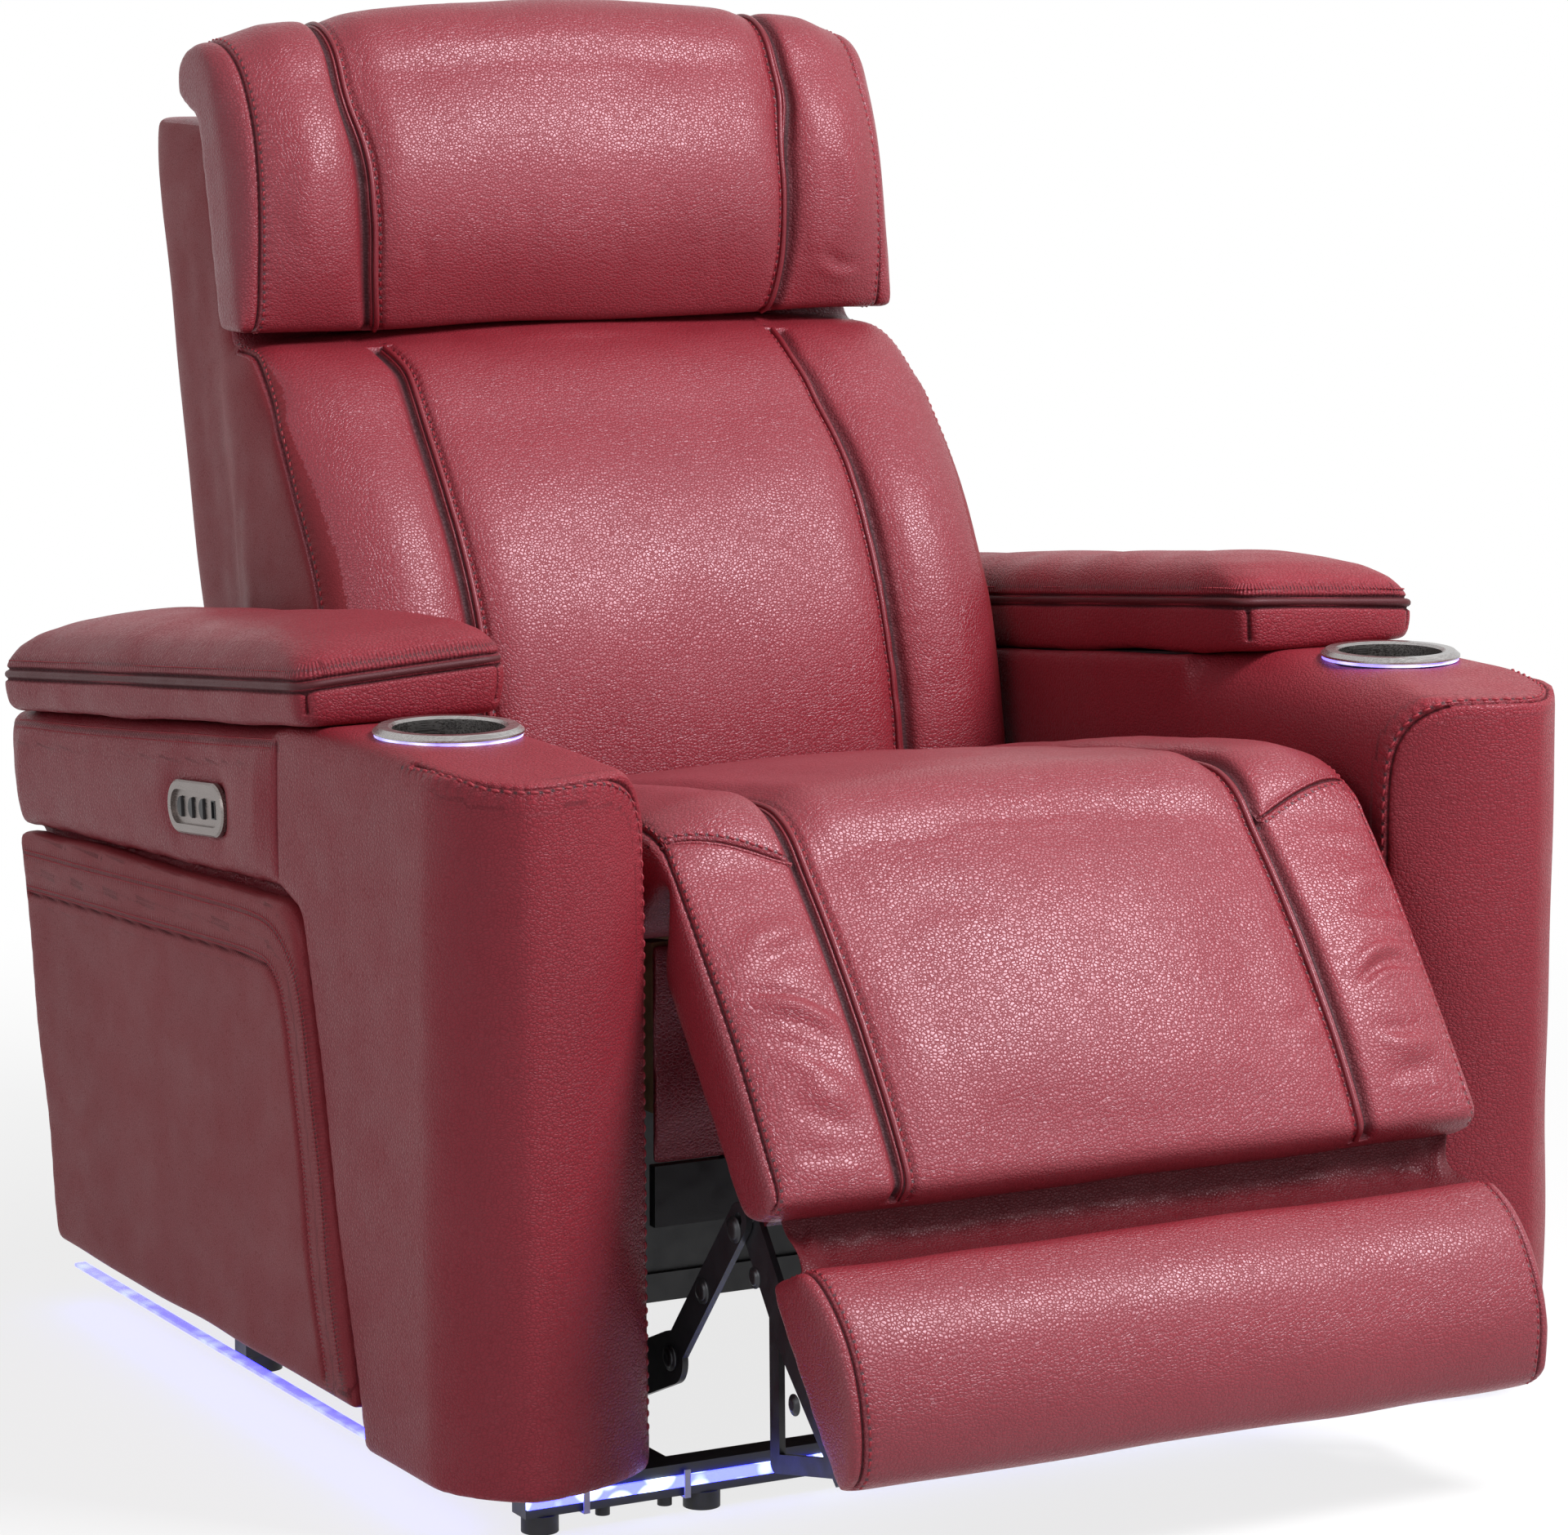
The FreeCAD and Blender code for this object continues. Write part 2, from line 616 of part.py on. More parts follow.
def pillar_rear(height):
    """Depth of the front pillar's rear edge at a height under the side band."""
    run = S.pillar_waist.value - S.pillar_low.value
    rise = S.band_low.value - S.waist_drop.value - S.arm_low.value
    return S.pillar_low + (run / rise) * (height - S.arm_low)


def band_foot(depth):
    return S.band_low - tangent(S.band_fall) * (depth - S.pillar_top)


def cushion_foot(depth):
    """Height of the seat cushion's underside at a depth."""
    rise = (S.seat_low_front.value - S.seat_low_rear.value)
    run = S.seat_back.value - S.fold_y.value - S.mitre.value
    return S.seat_low_front - (rise / run) * (depth - S.fold_y - S.mitre)


def back_face(height):
    """Depth of the back board's front face at a height."""
    return S.back_y + tangent(S.back_lean) * (height - S.hip_z)


def shell_face(height):
    """Depth of the outer back shell's rear face at a height."""
    return S.shell_y + tangent(S.back_lean) * (height - S.shell_low)


def on_pad(along, out):
    """Depth and height of a point of the footrest, from the fold line."""
    slope = math.radians(S.pad_slope.value)
    depth = S.fold_y.value - along * math.cos(slope) - out * math.sin(slope)
    height = S.fold_z.value - along * math.sin(slope) + out * math.cos(slope)
    return depth, height


# Sizes that follow from others

S.lid_in = S.arm_in + S.lid_inset
S.lid_out = S.arm_out + S.lid_over
S.back_top = S.shell_top - S.board_drop
S.cushion_top = S.shell_top - S.cushion_drop
S.lumbar_z = S.cushion_top - S.lumbar_drop
S.lumbar_y = back_face(S.lumbar_z) - S.lumbar_thick
S.shoulder_z = S.cushion_top - S.shoulder_drop
S.shoulder_y = back_face(S.shoulder_z) - S.shoulder_thick
S.brow_z = S.cushion_top - 2
S.brow_y = back_face(S.brow_z) - S.brow_thick
S.head_low = S.cushion_top + S.head_gap
S.neck_z = S.head_low - S.neck_drop
S.neck_y = back_face(S.neck_z) - S.neck_out
S.head_mid = S.head_low + S.head_fullest
S.head_front = back_face(S.head_mid) - S.head_thick
S.head_top = S.shell_top + S.head_rise
S.head_upper = S.head_top - S.head_turn
S.head_over = back_face(S.shell_top) + S.head_behind


# Arms

def pillar(name):
    """The padded front of an arm: plan, side and front outlines meet in one solid."""
    x0 = S.arm_in.value
    x1 = S.arm_out.value
    low = S.arm_low.value
    top = S.deck_top.value
    bow = S.pillar_bow.value
    fullest = x0 + S.bow_place.value
    corner = S.corner_depth.value
    rear = S.pillar_top.value
    plan_runs = [
        [(x0 + 0.45 * (fullest - x0), -0.72 * bow), (fullest, -bow)],
        [(x1 - 0.22 * (x1 - fullest), -0.1 * bow), (x1, corner)],
        [(x1, rear)],
        [(x0, rear)],
        [(x0, 4)],
    ]
    plan = flat_wire(lambda spot: V(spot[0], spot[1], low), (x0, 4), plan_runs)
    upright = Part.Face(plan).extrude(V(0, 0, top - low))
    side = block(x0, x1, [
        (-2 * bow, low),
        (S.pillar_low, low),
        (S.pillar_waist, S.band_low - S.waist_drop),
        (S.pillar_top, S.band_low),
        (S.pillar_top, arm_top(S.pillar_top)),
        (S.deck_to, S.deck_top),
        (S.deck_from, S.deck_top),
        (-bow, S.deck_top - S.brow_drop),
        (-2 * bow, S.deck_top - S.brow_drop),
    ])
    inner = S.inner_round.value
    outer = S.outer_round.value
    tuck = 1 - math.sqrt(0.5)
    front_runs = [
        [(x1, low)],
        [(x1, top - outer)],
        [(x1 - tuck * outer, top - tuck * outer), (x1 - outer, top)],
        [(x0 + inner, top)],
        [(x0 + tuck * inner, top - tuck * inner), (x0, top - inner)],
        [(x0, low)],
    ]
    front = flat_wire(lambda spot: V(spot[0], -2 * bow, spot[1]), (x0, low), front_runs)
    facing = Part.Face(front).extrude(V(0, rear + 2 * bow, 0))
    solid = upright.common(side).common(facing)
    bore = Part.makeCylinder(S.cup_bore.value, S.cup_depth.value,
                             V(S.cup_x.value, S.cup_y.value, top - S.cup_depth.value))
    return shaped(name, solid.cut(bore).removeSplitter())


def arm_box(name):
    """The arm's body behind the pillar, with the pocket for the storage bin."""
    corners = [
        (pillar_rear(S.box_low), S.box_low),
        (arm_back(S.box_low), S.box_low),
        (S.arm_rear, arm_top(S.arm_rear)),
        (S.pillar_top, arm_top(S.pillar_top)),
        (S.pillar_top, S.band_low),
        (S.pillar_waist, S.band_low - S.waist_drop),
    ]
    core = prism(name + "_core", corners, S.arm_in, S.arm_out - S.skin - S.arm_in)
    pocket = box(name + "_pocket", S.arm_in + S.bin_wall, S.bin_front, S.bin_floor,
                 S.arm_out - S.skin - S.arm_in - 2 * S.bin_wall, S.bin_rear - S.bin_front,
                 S.deck_top - S.bin_floor)
    return cut(name, core, pocket)


def storage_bin(name):
    """The liner of the storage space under the lid."""
    wide = S.arm_out - S.skin - S.arm_in - 2 * S.bin_wall
    corners = [
        (S.bin_front, S.bin_floor),
        (S.bin_rear, S.bin_floor),
        (S.bin_rear, arm_top(S.bin_rear)),
        (S.bin_front, arm_top(S.bin_front)),
    ]
    outer = prism(name + "_outer", corners, S.arm_in + S.bin_wall, wide)
    inner = box(name + "_inner", S.arm_in + S.bin_wall + S.liner, S.bin_front + S.liner,
                S.bin_floor + S.liner, wide - 2 * S.liner,
                S.bin_rear - S.bin_front - 2 * S.liner, S.deck_top - S.bin_floor)
    return cut(name, outer, inner)


def side_band(name):
    """The padded strip along the outside of the arm, under the lid."""
    corners = [
        (S.pillar_top, band_foot(S.pillar_top)),
        (arm_back(band_foot(S.arm_rear)), band_foot(S.arm_rear)),
        (S.arm_rear, arm_top(S.arm_rear)),
        (S.pillar_top, arm_top(S.pillar_top)),
    ]
    body = prism(name, corners, S.arm_out - S.skin, S.skin)
    high = arm_top(S.pillar_top).value
    low = arm_top(S.arm_rear).value

    def top_outer(edge):
        first, last = edge.Vertexes[0].Point, edge.Vertexes[-1].Point
        on_face = abs(first.x - S.skin.value) + abs(last.x - S.skin.value) < 0.01
        ends = sorted([first.z, last.z])
        return on_face and abs(ends[0] - low) + abs(ends[1] - high) < 0.1

    round_edges(body, S.outer_round, top_outer)
    return body


def side_panel(name):
    """The raised lower panel on the outside of the arm, with one round corner."""
    front_low = pillar_rear(S.box_low) + S.shadow
    front_high = S.pillar_waist + S.shadow
    top_front = band_foot(S.pillar_top) - S.shadow
    rear_top = band_foot(S.arm_rear) - S.shadow
    corners = [
        (front_low, S.box_low),
        (arm_back(S.box_low), S.box_low),
        (arm_back(rear_top), rear_top),
        (front_high, top_front - S.shadow),
    ]
    body = prism(name, corners, S.arm_out - S.skin, S.skin + S.panel_proud, [(3, S.panel_round)])
    face = S.skin.value + S.panel_proud.value

    def outer_rim(edge):
        return all(abs(vertex.Point.x - face) < 0.01 for vertex in edge.Vertexes)

    round_edges(body, S.pad_edge, outer_rim)
    return body


def cup_holder(name):
    """A steel cup with a bevelled rim that rests on the light ring."""
    rim = S.ring_lift + S.ring_height
    bore = S.cup_bore - S.cup_fit
    corners = [
        (0, S.cup_fit - S.cup_depth),
        (bore, S.cup_fit - S.cup_depth),
        (bore, S.ring_lift),
        (S.ring_out, S.ring_lift),
        (S.ring_out, S.ring_lift + 0.35 * S.ring_height),
        (S.ring_out - 0.8 * S.ring_height, rim),
        (S.cup_bore, rim),
        (bore - S.cup_wall, rim - 0.4 * S.ring_height),
        (bore - S.cup_wall, S.cup_wall - S.cup_depth),
        (0, S.cup_wall - S.cup_depth),
    ]
    return turned(name, corners, S.cup_x, S.cup_y, S.deck_top)


def cup_light(name):
    """The thin ring that shines under the cup's rim."""
    corners = [
        (S.cup_bore, 0),
        (S.ring_out - 1, 0),
        (S.ring_out - 1, S.ring_lift),
        (S.cup_bore, S.ring_lift),
    ]
    return turned(name, corners, S.cup_x, S.cup_y, S.deck_top)


def lid_outline(inset, height):
    """A rectangle with round corners: the lid's outline at a height above its foot."""
    x0 = S.lid_in.value + inset
    x1 = S.lid_out.value - inset
    y0 = S.lid_front.value + inset
    y1 = S.lid_rear.value - inset
    r = min(S.lid_corner.value, 0.4 * (x1 - x0))
    k = r * (1 - math.sqrt(0.5))
    runs = [
        [(x1 - r, y0)],
        [(x1 - k, y0 + k), (x1, y0 + r)],
        [(x1, y1 - r)],
        [(x1 - k, y1 - k), (x1 - r, y1)],
        [(x0 + r, y1)],
        [(x0 + k, y1 - k), (x0, y1 - r)],
        [(x0, y0 + r)],
        [(x0 + k, y0 + k), (x0 + r, y0)],
    ]
    tilt = S.lid_tilt.value * min(1, max(0, height) / S.lid_border.value)
    lean = tilt / (S.lid_out.value - S.lid_in.value)

    def lift(spot):
        return V(spot[0], spot[1], height - lean * (spot[0] - S.lid_in.value))

    return flat_wire(lift, (x0 + r, y0), runs)


def lid(name):
    """The padded lid: a border that draws in to its foot, piping and a crown."""
    border = S.lid_border.value
    crown = S.lid_crown.value
    taper = S.lid_taper.value
    reach = 0.5 * (S.lid_out.value - S.lid_in.value)
    levels = [
        (taper, 0),
        (0.25 * taper, 0.55 * border),
        (0, border - 3),
        (3, border),
        (0, border + 3),
        (3, border + 0.4 * crown),
        (0.16 * reach, border + 0.72 * crown),
        (0.387 * reach, border + 0.92 * crown),
        (0.707 * reach, border + crown),
    ]
    solid = Part.makeLoft([lid_outline(inset, height) for inset, height in levels], True, True)
    solid.rotate(V(0, S.deck_to.value, 0), V(1, 0, 0), -S.arm_fall.value)
    solid.translate(V(0, 0, S.deck_top.value + S.soft_gap.value))
    return shaped(name, solid)


def lid_pivot():
    """Depth and height of the lid hinge."""
    depth = S.lid_rear - S.lid_taper + S.knuckle + S.hinge_set
    return depth, arm_top(depth) + S.knuckle + 0.05


def lid_hinge(name):
    """The hinge knuckle behind the lid's foot."""
    depth, height = lid_pivot()
    middle = 0.5 * (S.lid_in + S.lid_out)
    return rod(name, "X", S.knuckle, S.knuckle_length, middle - 0.5 * S.knuckle_length, depth, height)


def make_arms():
    for name, maker in (("arm_pillar", pillar), ("arm_box", arm_box), ("storage_bin", storage_bin),
                        ("side_panel", side_panel), ("cup_holder", cup_holder),
                        ("lid", lid)):
        keep_pair(name, maker)
    keep_both("cup_lights", cup_light)
    keep_both("lid_hinges", lid_hinge)
    left = keep(side_band("left_side_band"))
    flipped = mirrored("right_band_blank", left)
    play = S.pocket_play.value
    pocket = shaped("switch_pocket", switch_block(0, S.switch_deep.value + 2 * play, play))
    bind(pocket, "Placement.Base.y", S.front_y)
    nodes.append(cut("right_side_band", flipped, pocket))


# Switch plate on the outside of the -X arm

def on_switch(shape):
    """Move a shape from the switch's own frame to the arm's outer face."""
    shape.rotate(V(0, 0, 0), V(1, 0, 0), -S.switch_tilt.value)
    shape.translate(V(-S.arm_out.value, S.switch_y.value, S.switch_z.value))
    return shape


def stadium(x0, x1, long, tall):
    """A plate with half-round ends between two planes across X."""
    r = 0.5 * tall
    side = 0.5 * long - r
    runs = [
        [(side, -r)],
        [(side + r, 0), (side, r)],
        [(-side, r)],
        [(-side - r, 0), (-side, -r)],
    ]
    wire = flat_wire(lambda spot: V(x0, spot[0], spot[1]), (-side, -r), runs)
    return Part.Face(wire).extrude(V(x1 - x0, 0, 0))


def switch_block(x0, x1, grow):
    half_long = 0.5 * (S.bezel_long.value - 2 * S.bezel_wide.value) + grow
    half_tall = 0.5 * (S.bezel_tall.value - 2 * S.bezel_wide.value) + grow
    corners = [(-half_long, -half_tall), (half_long, -half_tall),
               (half_long, half_tall), (-half_long, half_tall)]
    return on_switch(block(x0, x1, corners))


def button_form(x0, x1, place_y, shrink):
    """A D-shaped button: a half disc with its flat side to the front."""
    r = S.button_radius.value - shrink
    flat = place_y - 0.5 * S.button_radius.value + shrink
    wire = flat_wire(lambda spot: V(x0, spot[0], spot[1]), (flat, -r),
                     [[(flat + r, 0), (flat, r)], [(flat, -r)]])
    return Part.Face(wire).extrude(V(x1 - x0, 0, 0))


def button_places():
    pitch = S.button_pitch.value
    return [1.5 * pitch, 0.5 * pitch, -0.5 * pitch]


def usb_box(x0, x1, trim):
    tall = 0.5 * S.usb_tall.value - trim
    wide = 0.5 * S.usb_wide.value - trim
    centre = -S.usb_place.value
    return block(x0, x1, [(centre - wide, -tall), (centre + wide, -tall),
                          (centre + wide, tall), (centre - wide, tall)])


def make_switch():
    proud = S.bezel_proud.value
    deep = S.switch_deep.value
    set_out = S.panel_set.value
    outer = stadium(-proud, 0, S.bezel_long.value, S.bezel_tall.value)
    rim = [edge for edge in outer.Edges
           if all(abs(vertex.Point.x + proud) < 0.01 for vertex in edge.Vertexes)]
    outer = outer.makeChamfer(0.3 * proud, rim)
    inner = stadium(-proud, 0, S.bezel_long.value - 2 * S.bezel_wide.value,
                    S.bezel_tall.value - 2 * S.bezel_wide.value)
    keep(shaped("switch_bezel", on_switch(outer.cut(inner))))
    panel = stadium(-set_out, 0, S.bezel_long.value - 2 * S.bezel_wide.value,
                    S.bezel_tall.value - 2 * S.bezel_wide.value)
    half_long = 0.5 * S.bezel_long.value - S.bezel_wide.value
    half_tall = 0.5 * S.bezel_tall.value - S.bezel_wide.value
    body = block(0, deep, [(-half_long, -half_tall), (half_long, -half_tall),
                           (half_long, half_tall), (-half_long, half_tall)])
    panel = panel.fuse(body).removeSplitter()
    well = deep - S.switch_wall.value
    for spot in button_places():
        panel = panel.cut(button_form(-set_out, well, spot, 0))
    panel = panel.cut(usb_box(-set_out, well, 0))
    keep(shaped("switch_panel", on_switch(panel)))
    for index, spot in enumerate(button_places(), 1):
        back = well - S.button_travel.value - S.pocket_play.value
        form = button_form(-S.button_proud.value, back, spot, S.button_gap.value)
        keep(shaped("button_%d" % index, on_switch(form)))
    socket = usb_box(-set_out - 0.5, well, 0)
    socket = socket.cut(usb_box(-set_out - 0.5, well - 1.5, S.usb_wall.value))
    keep(shaped("usb_socket", on_switch(socket)))


# Base frame, feet and lights

def make_base():
    tall = S.arm_low - S.rail_low
    keep(box("front_rail", -S.front_rail_x, S.front_rail_y, S.rail_low,
             2 * S.front_rail_x, S.rail_deep, tall))
    pieces = [box("rear_bar", -S.rear_rail_x, S.rear_rail_y, S.rail_low,
                  2 * S.rear_rail_x, S.rail_deep, tall)]
    for name, x in (("left_block", S.arm_in), ("right_block", -S.rear_rail_x)):
        pieces.append(box(name, x, S.rear_rail_y, S.arm_low, S.rear_rail_x - S.arm_in,
                          S.rail_deep, S.box_low - S.arm_low))
    keep(fuse("rear_rail", pieces))
    start = S.front_rail_y + S.rail_deep
    keep_both("base_rails", lambda name: box(name, S.side_rail_in, start, S.rail_low,
                                             S.side_rail_wide, S.rear_rail_y - start, tall))
    make_feet()
    keep(box("light_strip", -S.front_rail_x, S.front_rail_y - S.strip_deep, S.strip_low,
             2 * S.front_rail_x, S.strip_deep, S.strip_tall))
    make_ties()
    make_inlet()
    keep_pair("side_plate", side_plate)


def make_feet():
    middle_front = S.front_rail_y + 0.5 * S.rail_deep
    middle_rear = S.rear_rail_y + 0.5 * S.rail_deep
    places = [(S.foot_outer_x, middle_front), (S.foot_inner_x, middle_front),
              (S.foot_outer_x, middle_rear), (S.foot_inner_x, middle_rear)]
    feet = []
    screws = []
    for side in (-1, 1):
        for x, y in places:
            feet.append(rod("foot%d" % len(feet), "Z", S.foot_radius, S.rail_low, side * x, y, 0))
        for x in (S.leveller_x_a, S.leveller_x_b):
            screws.append(rod("screw%d" % len(screws), "Z", S.leveller_radius,
                              S.rail_low - S.leveller_low, side * x, middle_front, S.leveller_low))
    keep(group("feet", feet))
    keep(group("levellers", screws))


def make_ties():
    """Bands that hold the light strip to the front rail."""
    bands = []
    deep = S.rail_deep + S.strip_deep
    tall = S.arm_low - S.rail_low
    low = S.rail_low
    front = S.front_rail_y - S.strip_deep
    drop = tall - 3
    for side in (-1, 1):
        for x in (S.tie_x_a, S.tie_x_b):
            index = len(bands)
            start = x if side > 0 else -1 * (x + S.tie_wide)
            outer = box("tie%d_outer" % index, start, front - S.tie_thick, low - S.tie_thick,
                        S.tie_wide, deep + 2 * S.tie_thick, drop)
            inner = box("tie%d_inner" % index, start - 1, front, low,
                        S.tie_wide + 2, deep, tall)
            bands.append(cut("tie%d" % index, outer, inner))
    keep(group("cable_ties", bands))


def make_inlet():
    """The low-voltage socket on the rear rail where the supply plugs in."""
    rear = S.rear_rail_y + S.rail_deep
    low = S.rail_low + S.inlet_rim
    tall = S.arm_low - S.rail_low - 2 * S.inlet_rim
    shell = box("inlet_shell", S.inlet_x, rear, low, S.inlet_wide, S.inlet_deep, tall)
    hole = box("inlet_hole", S.inlet_x + 0.5 * S.inlet_wide - S.inlet_bore, rear + S.inlet_back,
               low + 0.5 * tall - S.inlet_bore, 2 * S.inlet_bore, S.inlet_deep, 2 * S.inlet_bore)
    keep(cut("power_inlet", shell, hole))


def side_plate(name):
    """The steel plate on the base that carries the seat, the links and the back."""
    corners = [
        (S.drive_y - S.plate_toe, S.arm_low),
        (S.hip_y - S.plate_heel, S.arm_low),
        (S.hip_y + S.plate_lug, S.hip_z - S.plate_rim),
        (S.hip_y + S.plate_lug, S.hip_z + S.plate_rim),
        (S.hip_y - S.plate_lug, S.hip_z + S.plate_rim),
        (S.frame_rear + S.rear_timber, S.hip_z),
        (S.drive_y + S.plate_cap, S.drive_z + S.plate_cap),
        (S.drive_y - S.plate_cap, S.drive_z + S.plate_cap),
        (S.drive_y - S.plate_nose, S.drive_z - S.plate_jaw),
    ]
    plate = prism(name + "_blank", corners, S.plate_in, S.plate)
    hole = rod(name + "_bearing", "X", S.journal + S.running, S.plate + 2,
               S.plate_in - 1, S.drive_y, S.drive_z)
    pin = rod(name + "_pin", "X", S.hip_pin, S.plate_in + S.plate - S.back_half + 0.5,
              S.back_half - 0.5, S.hip_y, S.hip_z)
    return fuse(name, [cut(name + "_drilled", plate, hole), pin])


# Seat

def seat_top_rail(depth):
    """Height of the frame rails' top, a wire's thickness under the cushion."""
    return cushion_foot(depth) - 2 * S.wire - 2 * S.rest_gap


def make_seat():
    keep_both("seat_side_rails", seat_side_rail)
    front = [
        (S.frame_front, S.frame_low),
        (S.frame_front + S.timber, S.frame_low),
        (S.frame_front + S.timber, seat_top_rail(S.frame_front + S.timber)),
        (S.frame_front, seat_top_rail(S.frame_front)),
    ]
    inner = S.frame_half - S.timber
    keep(prism("seat_front_rail", front, -inner, 2 * inner))
    rear_end = S.frame_rear + S.rear_timber
    rear = [
        (S.frame_rear, S.frame_low),
        (rear_end, S.frame_low),
        (rear_end, seat_top_rail(rear_end)),
        (S.frame_rear, seat_top_rail(S.frame_rear)),
    ]
    keep(prism("seat_rear_rail", rear, -S.plate_in, 2 * S.plate_in))
    apron = [
        (S.frame_front - S.apron, S.apron_low),
        (S.frame_front, S.apron_low),
        (S.frame_front, seat_top_rail(S.frame_front)),
        (S.frame_front - S.apron, seat_top_rail(S.frame_front)),
    ]
    keep(prism("front_apron", apron, -S.apron_half, 2 * S.apron_half))
    make_cross_rail()
    keep(box("dust_panel", S.rest_gap - S.plate_in, rear_end, S.arm_low,
             2 * (S.plate_in - S.rest_gap), S.dust_thick, S.dust_top - S.arm_low))
    keep(shaped("seat_wires", seat_wires()))
    keep(shaped("seat_cushion", seat_cushion()))
    keep(box("control_box", -0.5 * S.control_wide, rear_end, S.frame_low + S.control_lift,
             S.control_wide, S.control_deep, S.control_tall))


def make_cross_rail():
    """The steel rail under the apron, hung from the seat frame's front rail."""
    low = S.apron_low - S.cross_tall
    pieces = [box("cross_bar", -S.apron_half, S.frame_front - S.apron, low,
                  2 * S.apron_half, S.cross_deep, S.cross_tall)]
    for side in (-1, 1):
        left = side * S.hanger_x - 0.5 * S.hanger_wide
        pieces.append(box("hanger%d" % (side + 1), left, S.frame_front, low,
                          S.hanger_wide, S.hanger_thick, S.frame_low - low))
    keep(fuse("cross_rail", pieces))


def seat_side_rail(name):
    corners = [
        (S.frame_front, S.frame_low),
        (S.frame_rear, S.frame_low),
        (S.frame_rear, seat_top_rail(S.frame_rear)),
        (S.frame_front, seat_top_rail(S.frame_front)),
    ]
    rail = prism(name + "_blank", corners, S.frame_half - S.timber, S.timber)
    pass_hole = rod(name + "_hole", "X", S.drive_radius + S.tube_space, S.timber + 2,
                    S.frame_half - S.timber - 1, S.drive_y, S.drive_z)
    return cut(name, rail, pass_hole)


def seat_wires():
    """Tension wires from the front rail to the rear rail that carry the cushion."""
    start = S.frame_front.value + S.wire_inset.value
    end = S.frame_rear.value + S.rear_timber.value - S.wire_inset.value
    radius = S.wire.value
    wires = []
    lift = radius + S.rest_gap.value
    for step in (-2, -1, 0, 1, 2):
        x = step * S.wire_pitch.value
        first = V(x, start, seat_top_rail(start).value + lift)
        last = V(x, end, seat_top_rail(end).value + lift)
        wires.append(Part.makeCylinder(radius, (last - first).Length, first, last - first))
    return Part.makeCompound(wires)


def seat_cushion():
    """The seat: crowned, pinched along two seams, rounded over the knee."""
    fold = (S.fold_y.value, S.fold_z.value)
    knee = S.knee.value
    crest = S.seat_front_top.value
    rear = S.seat_back.value
    rear_top = S.seat_rear_top.value
    under = (fold[0] + S.mitre.value, fold[1] - S.mitre.value)
    foot = (rear, S.seat_low_rear.value)
    shoulder_y = knee - 0.6 * (knee - fold[0])
    shoulder_z = crest - 0.23 * (crest - fold[1])

    def profile(swell, x):
        middle = (0.5 * (knee + rear), 0.5 * (crest + rear_top) + 4 + swell)
        runs = [
            [middle, (knee, crest + swell)],
            [(shoulder_y - 0.3 * swell, shoulder_z + 0.7 * swell), fold],
            [under],
            [(under[0], S.seat_low_front.value)],
            [foot],
            [(rear, rear_top + 0.6 * swell)],
        ]
        return (rear, rear_top + 0.6 * swell), runs

    swell = S.seat_swell.value
    stations = panel_stations(S.seat_half.value, S.panel_seam.value, swell, -0.4 * swell,
                              [(0, -1.3 * swell), (12, -0.2 * swell)])
    return crosswise(stations, profile)


# Footrest

def make_footrest():
    keep(shaped("legrest_pad", legrest_pad()))
    low = S.pad_thick.value
    deep = low + S.board.value
    half = S.board_half.value
    first = S.mitre.value + 10
    last = S.pad_long.value - 14
    upper = block(-half, half, [on_pad(first, -low), on_pad(last, -low),
                                on_pad(last, -deep), on_pad(first, -deep)])
    keep(shaped("legrest_board", upper))
    keep(shaped("ottoman_pad", ottoman_pad()))
    start = S.toe_start.value - S.toe_skew.value + 2
    end = S.toe_end.value - 16
    lower = block(-half, half, [on_pad(start, -low), on_pad(end, -low),
                                on_pad(end, -deep), on_pad(start, -deep)])
    keep(shaped("ottoman_board", lower))
    keep(shaped("ottoman_brackets", ottoman_brackets(deep)))


def legrest_pad():
    """The calf pad, hinged at the fold: crowned, with two seams and soft ends."""
    thick = S.pad_thick.value
    long = S.pad_long.value
    gap = S.fold_gap.value
    mitre_end = gap + thick

    def profile(swell, x):
        runs = [
            [on_pad(0.5 * long, swell), on_pad(long, -4 + 0.3 * swell)],
            [on_pad(long + 1, -0.45 * thick), on_pad(long - 14, -thick)],
            [on_pad(mitre_end, -thick)],
            [on_pad(gap, -gap)],
        ]
        return on_pad(gap, -gap), runs

    swell = S.pad_swell.value
    stations = panel_stations(S.pad_half.value, S.panel_seam.value, swell, 0.35 * swell,
                              [(0, -0.2 * swell), (12, 0.45 * swell)])
    return crosswise(stations, profile)


def ottoman_pad():
    """The foot pad: a roll that is thick at the top and thin at its end."""
    thick = S.pad_thick.value
    start = S.toe_start.value
    end = S.toe_end.value
    skew = S.toe_skew.value
    drop = S.toe_drop.value

    def profile(swell, x):
        runs = [
            [on_pad(start - 2, -6 + 0.3 * swell - 10)],
            [on_pad(start + 0.45 * (end - start), -0.35 * drop + swell), on_pad(end, -drop - 8)],
            [on_pad(end - 4, -thick)],
            [on_pad(start - skew, -thick)],
        ]
        return on_pad(start - skew, -thick), runs

    swell = S.toe_swell.value
    half = S.toe_half.value
    side = [(half, 0.7 * swell), (half - 8, 0.95 * swell), (half - 50, swell),
            (0.5 * half, swell)]
    left = [(-x, amount) for x, amount in side]
    return crosswise(left + [(0, swell)] + side[::-1], profile)


